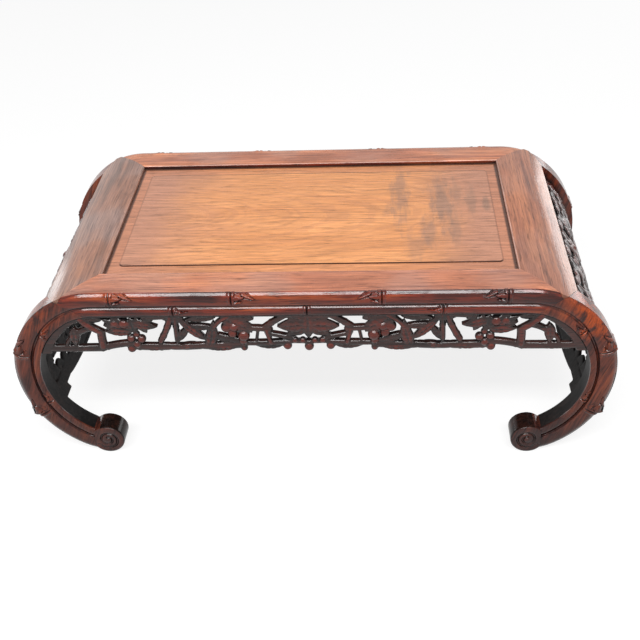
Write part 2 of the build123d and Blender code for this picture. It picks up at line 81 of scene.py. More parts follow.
shoulder_x = half_length - haunch_radius - (shoulder_radius - haunch_radius) * sin(shoulder_turn)
shoulder_z = table_height - shoulder_radius
haunch_x = half_length - haunch_radius
knee_z = shoulder_z + (shoulder_radius - haunch_radius) * cos(shoulder_turn)
knee_rise = knee_z + sole_flat
shin_chord = foot_reach**2 + knee_rise**2 - 2 * knee_rise * foot_radius
shin_radius = shin_chord / (2 * (foot_reach - foot_radius))
shin_x = half_length - shin_radius
sole_x = half_length - foot_reach
foot_z = foot_radius - sole_flat
shin_turn = pi / 2 + atan2(knee_z - foot_z, sole_x - shin_x)

c_arcs = [
    (shoulder_x, shoulder_z, shoulder_radius, 0.0, shoulder_turn),
    (haunch_x, knee_z, haunch_radius, shoulder_turn, pi / 2),
    (shin_x, knee_z, shin_radius, pi / 2, shin_turn),
    (sole_x, foot_z, foot_radius, shin_turn, pi),
]


def c_distance(turn):
    """Distance along the outer face, from the table's middle, to where it has turned this far."""
    distance = shoulder_x
    for x, z, radius, first, last in c_arcs:
        distance += radius * max(0.0, min(turn, last) - first)
    return distance


def on_c(distance, y, inset):
    """Place of a point this far along the outer face and this deep under it; left is negative."""
    side = -1 if distance < 0 else 1
    left = abs(distance) - shoulder_x
    if left <= 0:
        return Vector((distance, y, table_height - inset))
    for x, z, radius, first, last in c_arcs:
        length = radius * (last - first)
        if left <= length or last == pi:
            break
        left -= length
    turn = first + left / radius
    reach = radius - inset
    return Vector((side * (x + reach * sin(turn)), y, z + reach * cos(turn)))


print("outer face from middle to sole", round(c_distance(pi), 4))

# %% [markdown]
# ## Helpers for hand modelling
#
# Long carved pieces all start the same way: a cylinder whose length is cut into rings. Its points
# are then laid on the shape of the piece. A cylinder is chosen because it is already closed, so
# the finished piece is closed too.

# %% A cylinder laid on a shape
def only(*pieces):
    """Select these pieces and nothing else."""
    bpy.ops.object.select_all(action="DESELECT")
    for piece in pieces:
        piece.select_set(True)
    bpy.context.view_layer.objects.active = pieces[0]


def tube(name, around, along, place):
    """A closed tube. place(share of its length, turn round it) gives each point."""
    bpy.ops.object.select_all(action="DESELECT")
    bpy.ops.mesh.primitive_cylinder_add(vertices=around, radius=1, depth=1, location=(0, 0, 0))
    piece = bpy.context.object
    piece.name = name
    bpy.context.tool_settings.mesh_select_mode = (False, True, False)
    bpy.ops.object.mode_set(mode="EDIT")
    bpy.ops.mesh.select_all(action="DESELECT")
    bpy.ops.object.mode_set(mode="OBJECT")
    points = piece.data.vertices
    for edge in piece.data.edges:
        low, high = edge.vertices
        edge.select = abs(points[low].co.z - points[high].co.z) > 0.5
    bpy.ops.object.mode_set(mode="EDIT")
    bpy.ops.mesh.subdivide_edgering(number_cuts=along - 1, interpolation="LINEAR")
    bpy.ops.object.mode_set(mode="OBJECT")
    for point in points:
        point.co = place(point.co.z + 0.5, atan2(point.co.y, point.co.x) % tau)
    return piece


def loft(name, stations, section):
    """A tube along the C curve. section(distance) gives its corners as (y, inset)."""
    outlines = [section(distance) for distance in stations]
    spans, corners = len(stations) - 1, len(outlines[0])

    def place(share, turn):
        step = round(share * spans)
        y, inset = outlines[step][round(turn / tau * corners) % corners]
        return on_c(stations[step], y, inset)

    return tube(name, corners, spans, place)


print("blanks come from", tube.__name__, "and", loft.__name__)

# %% [markdown]
# Flat joints are sawn last, with a bisect that fills its cut. The table is the same on both sides,
# so a piece is made once, and its twin is a mirror image with a mesh of its own. Mirroring turns a
# mesh inside out, so its faces are turned outwards again. A finished piece then takes the place of
# its solid, which stays behind it for collision.

# %% Saw, mirror and finish a piece
def cut_flat(piece, origin, normal, below=None):
    """Saw the piece off along a plane and close the cut. The side that the normal points to goes.

    With below, only the points under that height are sawn."""
    only(piece)
    bpy.context.tool_settings.mesh_select_mode = (True, False, False)
    bpy.ops.object.mode_set(mode="EDIT")
    bpy.ops.mesh.select_all(action="SELECT")
    if below is not None:
        bpy.ops.mesh.select_all(action="DESELECT")
        bpy.ops.object.mode_set(mode="OBJECT")
        for point in piece.data.vertices:
            point.select = point.co.z < below
        bpy.ops.object.mode_set(mode="EDIT")
    bpy.ops.mesh.bisect(plane_co=origin, plane_no=normal, use_fill=True, clear_outer=True)
    bpy.ops.object.mode_set(mode="OBJECT")


def saw_ends(piece, *cuts):
    """Saw both ends of a long piece. Each cut is a point and a direction at its right end."""
    for side in (1, -1):
        to_side = Matrix.Diagonal((side, 1, 1))
        for origin, normal in cuts:
            cut_flat(piece, to_side @ origin, to_side @ normal)


def face_out(piece):
    """Turn all faces outwards."""
    only(piece)
    bpy.ops.object.mode_set(mode="EDIT")
    bpy.ops.mesh.select_all(action="SELECT")
    bpy.ops.mesh.normals_make_consistent(inside=False)
    bpy.ops.object.mode_set(mode="OBJECT")


def smooth(piece, angle):
    """Smooth shading, with edges sharper than this angle kept crisp."""
    only(piece)
    bpy.ops.object.shade_smooth_by_angle(angle=angle)


def mirrored(piece, name, across):
    """A mirror image with its own mesh, across the x or the y plane through the middle."""
    only(piece)
    bpy.ops.object.duplicate(linked=False)
    twin = bpy.context.object
    twin.name = name
    twin.scale = (-1, 1, 1) if across == "x" else (1, -1, 1)
    bpy.ops.object.transform_apply(location=False, rotation=False, scale=True)
    face_out(twin)
    return twin


made = {}


def replace_node(piece, node):
    """Let the piece ride on the table in place of this solid."""
    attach(piece, "root")
    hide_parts(node)
    made[piece.name] = piece


print("pieces made so far", len(made))

# %% [markdown]
# ## Bamboo canes
#
# The mouldings and the legs are carved as bamboo: a big cane and a thin cane side by side. A
# bamboo cane has a narrow waist between its joints. It flares to each joint, where two rings meet
# at a fine cut, and buds lie against the cane beside the rings. All of this is a small rise or
# fall of the cane's skin, so it is written as a height that depends on the place along the cane.

# %% Heights of a bamboo joint and its buds
big_cane = 23 * mm
cane_groove = 2 * mm
thin_cane = 16 * mm
leg_band = big_cane + cane_groove + thin_cane
cane_waist = 2.6 * mm
side_waist = 1.2 * mm
flare_height = 1.1 * mm
flare_reach = 8 * mm
ring_height = 1.5 * mm
ring_gap = 3.1 * mm
ring_width = 1.7 * mm
joint_cut = 1.5 * mm
cut_width = 0.8 * mm


def joint_height(distance, joints):
    """Height of the skin over the waist: a flare, two rings and the cut between them."""
    height = 0.0
    for joint in joints:
        away = distance - joint
        rings = exp(-((away - ring_gap) / ring_width)**2) + exp(-((away + ring_gap) / ring_width)**2)
        height += flare_height * exp(-(away / flare_reach)**2) + ring_height * rings
        height -= joint_cut * exp(-(away / cut_width)**2)
    return min(height, cane_waist)


# Each bud: how far from the rings it starts, its length, its line across the cane as a share of
# the cane's width, half its width, its height and how far it slants across by its tip.
big_buds = [
    (4 * mm, 15 * mm, 0.34, 5.2 * mm, 2.8 * mm, -1 * mm),
    (4.5 * mm, 12 * mm, 0.74, 3.0 * mm, 2.2 * mm, -3 * mm),
    (15 * mm, 19 * mm, 0.08, 3.8 * mm, 2.6 * mm, 8 * mm),
]
thin_buds = [
    (3 * mm, 13 * mm, 0.30, 2.8 * mm, 2.0 * mm, 3 * mm),
    (3 * mm, 20 * mm, 0.68, 2.6 * mm, 1.9 * mm, -5 * mm),
]
# The cut round a bud: its depth as a share of the bud's height, then its place and its half width
# as shares of the bud's own half width.
bud_cut, bud_cut_place, bud_cut_width = 0.38, 1.4, 0.5


def bud_height(distance, across, width, joints, buds):
    """Height of the buds at this place: rounded spears that point to the table's middle."""
    height = 0.0
    for joint in joints:
        out = (joint - distance) * (1 if distance >= 0 else -1)
        for start, length, line, half, rise, slant in buds:
            share = (out - start) / length
            if 0 < share < 1.15:
                middle = line * width + slant * share
                reach = half * sqrt(max(0.02, 1 - share)) * min(1.0, 0.3 + 4 * share)
                off = abs(across - middle) / reach
                height += rise * max(0.0, 1 - off * off) * (1 if share < 1 else 0)
                height -= bud_cut * rise * max(0.0, 1 - abs(off - bud_cut_place) / bud_cut_width)
    return height


print("big cane", big_cane, "thin cane", thin_cane)

# %% [markdown]
# Across, a cane is not quite round: its near side has a bright, almost flat shoulder before it
# rounds over to the crest. The corners of that outline are worked out once, and the joints and
# buds then press them in or let them stand out. Rings of corners lie close together only near a
# joint, where there is fine carving, so the long plain stretches cost few faces.

# %% The outline of a cane
fine_step = 0.6 * mm
buds_reach = 36 * mm
shoulder_steps = 4


def cane_profile(half, rise, corners):
    """Corners across a plain cane: slope of the skin, depth behind its crest, place from its edge."""
    first, last = radians(39), radians(46)
    bright = (first + last) / 2
    edge, shoulder = 0.12 * half, 0.38 * half
    drop = edge * sin(first / 2) + shoulder * sin(bright)
    radius = (half - drop) / cos(last)
    behind = radius * (1 - sin(last))
    profile = [(0.0, behind + shoulder * cos(bright) + edge * cos(first / 2), 0.0)]
    for step in range(shoulder_steps):
        slope = first + (last - first) * step / shoulder_steps
        left = (1 - step / shoulder_steps) * shoulder
        profile.append((slope, behind + left * cos(bright), drop - left * sin(bright)))
    for step in range(corners):
        slope = last + (pi / 2 - last) * step / corners
        rounded = cos(last) - cos(slope)
        profile.append((slope, behind - radius * (sin(slope) - sin(last)), drop + radius * rounded))
    for step in range(corners + 1):
        slope = pi / 2 * (1 + step / corners)
        profile.append((slope, rise * (1 - sin(slope)), half * (1 - cos(slope))))
    return profile


def cane(distance, near, far, joints, root, rise, corners, buds, proud=0.0):
    """Corners of a cane that stands on the plane at root, from its near to its far edge."""
    half = (far - near) / 2
    skin = joint_height(distance, joints) - cane_waist
    outline = []
    for slope, behind, across in cane_profile(half, rise, corners):
        bud = bud_height(distance, across, 2 * half, joints, buds)
        lift = min(0.0, skin + bud)
        side_lift = min(proud, skin + bud + cane_waist - side_waist)
        y = behind - root - rise - lift * sin(slope)
        outline.append((y, near + across - side_lift * max(0.0, cos(slope))))
    return outline


def stations(first, last, joints, step):
    """Places for the rings of a tube: close together where there is a joint with its buds."""
    places = [first]
    while places[-1] < last - fine_step:
        near = any(abs(places[-1] - joint) < buds_reach for joint in joints)
        places.append(min(last, places[-1] + (fine_step if near else step)))
    return places


print("near a joint there is a ring every", fine_step)

# %% [markdown]
# ## The top's long rails
#
# The long rail of the top frame is one board: flat above, with a small round edge at the panel, a
# groove for the panel's tongue, and the big cane along its front. At both ends it rolls down with
# the shoulder. It is mitred against the end member and sawn off on a slant against the leg.

# %% Front and rear rails with the big cane
frame_width = 60.3 * mm
end_member_flat = 9.2 * mm
frame_edge_round = 2.5 * mm
cane_rise = 6 * mm
leg_thickness = 37 * mm
leg_back = half_depth - leg_thickness
opening_x = shoulder_x - end_member_flat
opening_y = half_depth - frame_width
cane_root = half_depth - cane_rise
big_kind = (cane_root, cane_rise, 15, big_buds)
groove_low, groove_high, groove_reach = 15.2 * mm, 8.8 * mm, 7.9 * mm
rail_joints = [sign * place for place in (108 * mm, 286 * mm) for sign in (-1, 1)]
cane_foot = 4 * mm
under_row = 190 * mm
top_rows = (180 * mm, 200 * mm)
# Where the skin rises from the cane to the flat top: how far behind the cane, and share of its depth.
skin_fade = [(6 * mm, 0), (4 * mm, 0.15), (2 * mm, 0.5), (0.8 * mm, 0.85)]

leg_head_outer_turn = radians(23.6)
leg_head_inner_turn = radians(6)
head_origin = on_c(c_distance(leg_head_outer_turn), -half_depth, 0)
head_across = on_c(c_distance(leg_head_inner_turn), -half_depth, leg_band) - head_origin
head_inward = on_c(c_distance(shoulder_turn), -leg_back, 0) - head_origin
head_normal = head_across.cross(head_inward).normalized()
head_cut = (head_origin, head_normal)
mitre_cut = (Vector((opening_x, -opening_y, 0)), Vector((1, 1, 0)).normalized())


def rail_section(distance):
    """Corners of the long rail: the cane, the underside, the grooved inner edge and the flat top."""
    front = cane(distance, 0, big_cane, rail_joints, *big_kind)
    roll, skin = front[0]
    under = [(-cane_root + cane_foot, big_cane), (-under_row, big_cane), (-opening_y, big_cane)]
    groove = [(-opening_y, groove_low), (-opening_y - groove_reach, groove_low),
              (-opening_y - groove_reach, groove_high), (-opening_y, groove_high)]
    edge = [(-opening_y - frame_edge_round * (1 - cos(turn)), frame_edge_round * (1 - sin(turn)))
            for turn in (0, pi / 6, pi / 3, pi / 2)]
    top = [(-row, 0) for row in top_rows] + [(roll + back, share * skin) for back, share in skin_fade]
    return front + under + groove + edge + top


rail_end = c_distance(shoulder_turn)
rail_stations = stations(-rail_end, rail_end, rail_joints, 5 * mm)
front_rail = loft("front_rail_moulding", rail_stations, rail_section)
face_out(front_rail)
saw_ends(front_rail, head_cut, mitre_cut)
smooth(front_rail, radians(35))
rear_rail = mirrored(front_rail, "rear_rail_moulding", "y")
replace_node(front_rail, "top_front_rail")
replace_node(rear_rail, "top_rear_rail")
print("rail rings", len(rail_stations), "corners", len(rail_section(0)))

# %% [markdown]
# ## The bead rails
#
# Under each long rail runs a second, thinner cane on its own strip of wood, tongued into the rail
# above it. It is set back a little, so a dark line shows between the two canes.

# %% Thin canes under the long rails
thin_setback = 1.5 * mm
thin_rise = 5 * mm
bead_depth = 22 * mm
bead_under_row, bead_back_row = 6 * mm, 9 * mm
thin_root = half_depth - thin_setback - thin_rise
thin_kind = (thin_root, thin_rise, 9, thin_buds)
bead_back = half_depth - thin_setback - bead_depth
bead_joints = [0] + [sign * 195.6 * mm for sign in (-1, 1)]


def bead_section(distance):
    """Corners of the bead rail: the thin cane and the strip behind it."""
    front = cane(distance, big_cane + cane_groove, leg_band, bead_joints, *thin_kind)
    back = [(-bead_back - bead_under_row, leg_band), (-bead_back, leg_band),
            (-bead_back, big_cane + bead_back_row), (-bead_back, big_cane),
            (-thin_root + cane_groove, big_cane)]
    return front + back


bead_stations = stations(-rail_end, rail_end, bead_joints, 5 * mm)
front_bead = loft("front_bead_moulding", bead_stations, bead_section)
face_out(front_bead)
saw_ends(front_bead, head_cut)
smooth(front_bead, radians(35))
rear_bead = mirrored(front_bead, "rear_bead_moulding", "y")
replace_node(front_bead, "front_bead_rail")
replace_node(rear_bead, "rear_bead_rail")
print("bead rail points", len(front_bead.data.vertices))

# %% [markdown]
# ## The legs
#
# Each leg is sawn to the C curve and carved on its front with the same two canes. The groove
# between them wanders: the big cane widens down to the knee and narrows again to the foot. The
# rings of the big cane run on round the outer face, where the hand feels them. The foot's end of
# the same blank is kept for the next step, and the leg is sawn off at the glue line.

# %% Four legs
leg_big_joints = [c_distance(radians(turn)) for turn in (72.5, 117.5)]
leg_thin_joints = [c_distance(radians(turn)) for turn in (52, 111.5)]
leg_first = c_distance(radians(3))
leg_proud = 1.6 * mm
knuckle_rise, knuckle_length, knuckle_width = 6 * mm, 20 * mm, 13 * mm
knee_distance = c_distance(radians(95))
groove_swell = 5 * mm
groove_swell_reach = 110 * mm
groove_floor = 1.2 * mm
inner_edge_round = 2 * mm
inner_row = 205 * mm
back_rows = (27 * mm, 14 * mm)
outer_rows = (200 * mm, 210 * mm)
foot_glue_x = 354.375 * mm
foot_top = 120 * mm


def leg_section(distance):
    """Corners of the leg: big cane, groove, thin cane, inner face, back and outer face."""
    groove = big_cane + groove_swell * exp(-((distance - knee_distance) / groove_swell_reach)**2)
    big = cane(distance, 0, groove, leg_big_joints, *big_kind, leg_proud)
    above = (leg_big_joints[1] - distance) / knuckle_length
    knuckle = knuckle_rise * sin(pi * min(1.0, above)**0.6) if 0 < above < 1 else 0.0
    big = [(y, inset - knuckle * max(0.0, 1 - inset / knuckle_width)) for y, inset in big]
    floor = [(-cane_root + groove_floor, groove + cane_groove / 2)]
    thin = cane(distance, groove + cane_groove, leg_band, leg_thin_joints, *thin_kind)
    inner = [(-row, leg_band) for row in (thin_root - inner_edge_round, inner_row, leg_back)]
    back = [(-leg_back, row) for row in back_rows]
    outer = [(-row, big[0][1]) for row in (leg_back, *outer_rows)]
    return big + floor + thin + inner + back + outer


def to_all_corners(piece, kind):
    """Mirror the front right piece to the other three corners, and let all four ride."""
    piece.name = "front_right_" + kind
    front_left = mirrored(piece, "front_left_" + kind, "x")
    rear_right = mirrored(piece, "rear_right_" + kind, "y")
    rear_left = mirrored(front_left, "rear_left_" + kind, "y")
    for corner_piece in (piece, front_left, rear_right, rear_left):
        corner = corner_piece.name.removesuffix("_" + kind)
        replace_node(corner_piece, kind + "_" + corner)


leg_stations = stations(leg_first, c_distance(pi), leg_big_joints + leg_thin_joints, 3 * mm)
leg = loft("leg_blank", leg_stations, leg_section)
face_out(leg)
cut_flat(leg, head_origin, -head_normal)
only(leg)
bpy.ops.object.duplicate(linked=False)
foot_blank = bpy.context.object
cut_flat(leg, (foot_glue_x, 0, 0), (-1, 0, 0), below=foot_top)
smooth(leg, radians(38))
to_all_corners(leg, "leg")
print("leg points", len(leg.data.vertices))

# %% [markdown]
# ## The scroll feet
#
# The foot is a second block, glued to the leg's end, so that the scroll doesn't need a wider
# plank. Its face is carved as one more turn of the same cane, round a small eye. The scroll is a
# drum whose front rings are pressed in along a spiral. First the drum's outline: its back, its
# side, a rounded arris, and many narrow rings on the face, to hold the spiral.

# %% The scroll's drum
scroll_radius = 26.5 * mm
scroll_x = sole_x + 2.5 * mm
scroll_z = scroll_radius - sole_flat
scroll_edge = 5 * mm
spiral_start = 18.5 * mm
spiral_pitch = 8 * mm
spiral_turns = 1.75
spiral_first = radians(-25)
spiral_depth = 3.1 * mm
spiral_width = 1.7 * mm
eye_radius = 4.5 * mm
eye_rise = 0.85 * mm
lap_crown = 0.8 * mm
face_drop = 0.9 * mm
back_hole, eye_hole = 0.5 * mm, 0.3 * mm
back_rings, side_rings, face_rings = 8, 6, 39

face_reach = scroll_radius - scroll_edge
drum_back = [(back_hole + (scroll_radius - back_hole) * ring / back_rings, -leg_back)
             for ring in range(back_rings + 1)]
drum_side = [(scroll_radius, -leg_back - (leg_thickness - scroll_edge) * ring / side_rings)
             for ring in range(1, side_rings + 1)]
drum_round = [(scroll_radius - scroll_edge * (1 - cos(turn)), -half_depth + scroll_edge * (1 - sin(turn)))
              for turn in (pi / 2 * ring / side_rings for ring in range(1, side_rings + 1))]
drum_face = [(face_reach * (1 - ring / face_rings) + eye_hole, -half_depth)
             for ring in range(1, face_rings + 1)]
drum_profile = drum_back + drum_side + drum_round + drum_face


def scroll_relief(x, z):
    """How far the scroll's face lies behind its highest points, at this place from its centre."""
    reach = hypot(x, z)
    turned = ((spiral_first - atan2(z, x)) % tau) / tau
    nearest = 1.0
    for lap in range(3):
        progress = turned + lap
        if progress <= spiral_turns:
            nearest = min(nearest, abs(reach - (spiral_start - spiral_pitch * progress)))
    eye = eye_rise * exp(-(reach / eye_radius)**2)
    crown = lap_crown * (1 - min(1.0, nearest / (spiral_pitch / 2)))
    return spiral_depth * exp(-(nearest / spiral_width)**2) + crown - eye + face_drop


def on_drum(share, turn):
    """Point of the drum: back, side, rounded arris, then the carved face."""
    ring = round(share * (len(drum_profile) - 1))
    reach, y = drum_profile[ring]
    x, z = reach * cos(turn), reach * sin(turn)
    if y < -half_depth + scroll_edge / 2:
        fade = min(1.0, (scroll_radius - reach) / scroll_edge)
        y += scroll_relief(x, z) * fade
    return Vector((scroll_x + x, y, scroll_z + z))


print("drum rings", len(drum_profile))

# %% [markdown]
# The drum then has to grow out of the end of the leg, with no seam between them. A voxel remesh
# does that: it melts all that overlaps into one closed skin. It leaves small steps, so a few rounds
# of smoothing follow, which soften the carving as a scraper and polish do. The glue line and the
# sole are sawn flat after that, because a remesh never leaves a truly flat face.

# %% Four scroll feet
foot_overlap = 6 * mm


def joined(name, pieces):
    """Join loose pieces into one object."""
    only(*pieces)
    bpy.ops.object.join()
    piece = bpy.context.object
    piece.name = name
    return piece


def carve_together(piece, voxel, rounds, keep=1.0):
    """Melt overlapping pieces into one closed skin, and soften it in this many rounds.

    keep is the share of the triangles that stay. Flat places give up theirs first."""
    only(piece)
    melt = piece.modifiers.new("melt", "REMESH")
    melt.mode = "VOXEL"
    melt.voxel_size = voxel
    bpy.ops.object.modifier_apply(modifier=melt.name)
    soften = piece.modifiers.new("soften", "SMOOTH")
    soften.factor = 0.5
    soften.iterations = rounds
    bpy.ops.object.modifier_apply(modifier=soften.name)
    if keep < 1:
        thin = piece.modifiers.new("thin", "DECIMATE")
        thin.ratio = keep
        bpy.ops.object.modifier_apply(modifier=thin.name)
    bpy.ops.object.shade_smooth()
    print(piece.name, "triangles", sum(len(face.vertices) - 2 for face in piece.data.polygons))


scroll = tube("scroll", 96, len(drum_profile) - 1, on_drum)
face_out(scroll)
cut_flat(foot_blank, (0, 0, foot_top), (0, 0, 1))
cut_flat(foot_blank, (foot_glue_x + foot_overlap, 0, 0), (1, 0, 0))
foot = joined("front_right_scroll_foot", [foot_blank, scroll])
carve_together(foot, 0.8 * mm, 2)
cut_flat(foot, (foot_glue_x, 0, 0), (1, 0, 0))
cut_flat(foot, (0, 0, 0), (0, 0, -1))
for point in foot.data.vertices:
    point.co.z = max(0.0, point.co.z)
smooth(foot, radians(50))
to_all_corners(foot, "scroll_foot")
print("foot box", [round(v, 4) for v in foot.dimensions])

# %% [markdown]
# ## The carver's forms
#
# The aprons and end panels are fretwork: the board is sawn right through between the forms, and
# what stays is rounded with gouges. The forms are few: stems, leaves and berries. Each is drawn in
# a flat pattern, where u runs along the board and v up it, both in millimetres as a carver would
# lay them out, and each has its own level, so that leaves ride over the stems. A leaf is domed,
# with a cut vein down its middle and finer side veins that fan out to its rim.

# %% Stems, leaves and berries
board_half = 6.0
joint_reach, joint_swell = 1.4, 0.22
leaf_belly = 0.42
vein_cut, vein_width = 2.5, 0.17
side_vein_cut, side_vein_pitch = 1.1, 9.0


def bowed(start, end, bow):
    """A line between two points, bowed to its left: its length, and at(share) for a place on it."""
    first = Vector(start)
    run = Vector(end) - first
    side = Vector((-run.y, run.x)).normalized()

    def at(share):
        centre = first + run * share + side * bow * 4 * share * (1 - share)
        along = (run + side * bow * 4 * (1 - 2 * share)).normalized()
        return centre, Vector((-along.y, along.x))

    return run.length, at


def stem(start, end, width, bow=0.0, level=0.0, depth=board_half, joints=()):
    """A round stem between two points, bowed to its left, with bamboo joints at shares of it."""
    length, at = bowed(start, end, bow)

    def place(share, turn):
        centre, sideways = at(share)
        rings = sum(exp(-((share - joint) * length / joint_reach)**2) for joint in joints)
        end_round = sqrt(max(0.04, 1 - abs(2 * share - 1)**14))
        reach = width / 2 * (1 + joint_swell * rings) * end_round
        point = centre + sideways * reach * cos(turn)
        return Vector((point.x, -level - depth * end_round * sin(turn), point.y)) * mm

    return tube("stem", 14, max(10, round(length / 3)), place)


def leaf(base, tip, width, bow=0.0, level=0.0, rise=5.0):
    """A leaf from its base to its tip, fullest a little before its middle."""
    length, at = bowed(base, tip, bow)

    def place(share, turn):
        centre, sideways = at(share)
        fullness = sin(pi * share**(log(0.5) / log(leaf_belly)))
        reach = width / 2 * max(0.03, fullness)**0.8
        across = cos(turn)
        dome = sin(turn) * sqrt(max(0.05, fullness))
        vein = vein_cut * fullness * exp(-(across / vein_width)**2)
        fan = cos(tau * (share * length - width / 3 * abs(across)) / side_vein_pitch)
        front = rise * dome - vein - side_vein_cut * fullness * max(0.0, fan)**3
        height = front if turn < pi else (board_half + level) * sin(turn)
        point = centre + sideways * reach * across
        return Vector((point.x, -level - height, point.y)) * mm

    return tube("leaf", 28, max(14, round(length / 1.4)), place)


def berry(centre, radius, level):
    """A round berry, undercut from the board."""
    u, v = centre
    bpy.ops.object.select_all(action="DESELECT")
    bpy.ops.mesh.primitive_uv_sphere_add(segments=20, ring_count=12, radius=radius * mm,
                                         location=(u * mm, -level * mm, v * mm))
    bpy.ops.object.transform_apply(location=True, rotation=True, scale=True)
    return bpy.context.object


print("board", 2 * board_half, "mm")

# %% [markdown]
# ## The aprons
#
# The front apron is a grapevine among bamboo: a pair of grape leaves at the middle, crossing stems,
# bamboo leaves that lean together, bunches of berries and a flower bud near each leg. Half of it is
# laid out here. The other half is its mirror image, as the carver would flip the paper pattern.

# %% Half of the apron's pattern
def berries(*rows):
    """A bunch of berries, each given by its place, its radius and its level."""
    return [berry((u, v), radius, level) for u, v, radius, level in rows]


def apron_half():
    """The carved forms of one half, from the middle to the leg."""
    return [
        # the lower branch, jointed like bamboo, that ties the whole apron together
        stem((-6, 217), (40, 218), 8, 1),
        stem((30, 218), (98, 216), 10.5, -1, joints=(0.93,)),
        stem((92, 213.5), (162, 210.5), 14, -1, joints=(0.05, 0.95)),
        stem((156, 211), (212, 210), 13.5, -1, joints=(0.5,)),
        stem((205, 210), (264, 211), 14.5, -1, joints=(0.3, 0.86)),
        stem((255, 217), (310, 208.5), 12.5, 2, joints=(0.12, 0.9)),
        stem((303, 208), (398, 207.5), 14, 0, joints=(0.1, 0.55)),
        leaf((36, 214.5), (84, 213.5), 14, -2.5, level=1.5),
        leaf((98, 214), (140, 224), 13, 1.5, level=0.5),
        leaf((104, 211), (156, 206), 11, -1, level=2.0, rise=5.5),
        leaf((168, 214), (206, 206.5), 11, 1, level=2.0, rise=5.5),
        leaf((214, 212), (248, 206), 10, -1, level=1.8, rise=5.5),
        leaf((322, 211), (384, 205), 12, -1, level=1.5),
        # half of the big leaf at the middle, with berries under it
        leaf((-2, 250), (46, 246), 26, level=2.0, rise=5.5),
        leaf((-2, 254), (34, 266), 17, level=1.5),
        leaf((-2, 247), (33, 230), 19, level=1.7),
        leaf((0, 270), (0, 224), 22, level=2.4),
        *berries((0, 210, 7.2, 2.5), (32, 211.5, 6.8, 2.5), (9, 221.5, 5.4, 2.5), (20.5, 222, 5.4, 2.5)),
        # crossing stems between the leaves
        stem((26, 270), (68, 241), 10.5, 1, level=-0.5, joints=(0.66,)),
        stem((52, 240), (90, 243), 11, 1),
        stem((20, 223), (66, 234), 9.5, 1, level=-0.5),
        stem((62, 245), (55, 214), 7.5, 1, level=1.5, joints=(0.4,)),
        stem((74, 242), (78, 220), 5.5),
        # the leaf that hangs from the moulding over its berries
        leaf((124, 263), (79, 243), 31, 3, level=2.0, rise=5.5),
        leaf((110, 264), (83, 235), 18, level=2.2),
        leaf((102, 267), (79, 259), 15, level=1.6),
        stem((112, 268), (143, 240), 8.5, 4, level=1.2),
        stem((97, 228), (97, 206), 6.0, level=0.5),
        *berries((109, 247, 7.6, 3), (120.5, 245.5, 8.8, 0.5), (112, 235.5, 7.2, 3), (96, 231, 9.4, 2),
                 (97.5, 221.5, 6.6, 2.5), (97, 207.5, 5.4, 2)),
        stem((100, 217), (142, 230), 12, 1, level=-1.5),
        # bamboo leaves that lean together
        leaf((151, 207), (140, 256), 20, 2, level=2.2, rise=5.5),
        leaf((144, 247), (178, 252), 13, -3, level=1.4),
        leaf((134, 264), (182, 258), 15, 1, level=0.5),
        leaf((152, 223), (194, 268), 15, -2, level=2.4, rise=5.5),
        leaf((197, 219), (175, 250), 13, level=0.4),
        leaf((182, 264), (216, 260), 14, level=0.8),
        stem((194, 270), (196.5, 217), 9, 0.5, level=0.5, joints=(0.45,)),
        stem((201, 268), (224, 217), 10.5, -2, level=1.2, joints=(0.4, 0.72)),
        stem((206, 265), (240, 263), 9, level=-0.5),
        # a grape leaf over its bunch
        leaf((263, 257), (223, 247), 18, 1, level=2.2, rise=5.5),
        leaf((255, 264), (240, 236), 16, level=2.4),
        leaf((262, 264), (257, 233), 16, level=1.8),
        leaf((246, 268), (229, 257), 13, level=1.2),
        *berries((249.5, 226, 6.8, 2.4), (265, 227.5, 6.8, 2.4), (257.5, 216.5, 6.6, 2.4),
                 (267, 208, 6.8, 2.4), (256, 235, 5.4, 2.4)),
        # the flower bud: a cup of petals round two round hearts
        leaf((258, 246), (292, 264), 16, level=1.5, rise=5.4),
        leaf((259, 243), (304, 251), 18, level=2.2, rise=5.4),
        leaf((262, 239), (303, 240), 16, level=2.5, rise=5.4),
        leaf((280, 250), (306, 262), 12, level=0.8, rise=5.4),
        *berries((272, 254.5, 8.6, 1.5), (285.5, 255, 7.6, 1.2)),
        # the arching stem and the sprigs beside the leg
        stem((340, 268), (306, 238), 12.5, 3, level=1.8, joints=(0.35,)),
        stem((308.5, 245), (309.5, 206), 13.5, 1, level=1.2, joints=(0.8,)),
        leaf((306, 258), (338, 265), 15, 2, level=0.4),
        stem((316, 247), (352, 231), 10.5, 3),
        leaf((349, 247), (351, 212), 17, 1, level=1.8, rise=5.5),
        stem((350, 232), (366, 212), 7, 3, level=-0.5),
    ]


apron_forms = apron_half()
print("forms in half an apron", len(apron_forms))

# %% [markdown]
# A solid strip runs under the bead rail and widens beside the leg. It is a loft on the C curve like
# the canes. The carved forms overlap each other and the strip, and the remesh melts all of them, so
# the fretwork and its border end up as one board. Each point then remembers how far it stands out
# of that board, which the finish needs later.

# %% Front and rear aprons
fit = 0.2 * mm
strip_width, strip_spread = 4.5, 13
spandrel_last = c_distance(radians(75))
apron_end_z = 199.0 * mm
apron_mid = half_depth - 13 * mm


def spandrel_section(distance):
    """Corners of the strip: its front, its rounded inner edge, its slanting back and its top."""
    turned = max(0.0, min(1.0, (abs(distance) - shoulder_x) / (c_distance(pi / 2) - shoulder_x)))
    inner = leg_band + (strip_width + strip_spread * turned**0.8) * mm
    outer = leg_band + fit
    front = [(-5.5 * mm, outer), (-5.5 * mm, inner - 2 * mm), (-3.5 * mm, inner)]
    back = [(4.5 * mm, inner), (5.8 * mm, outer)]
    return front + back + [(0, outer), (-2 * mm, outer), (-4 * mm, outer)]


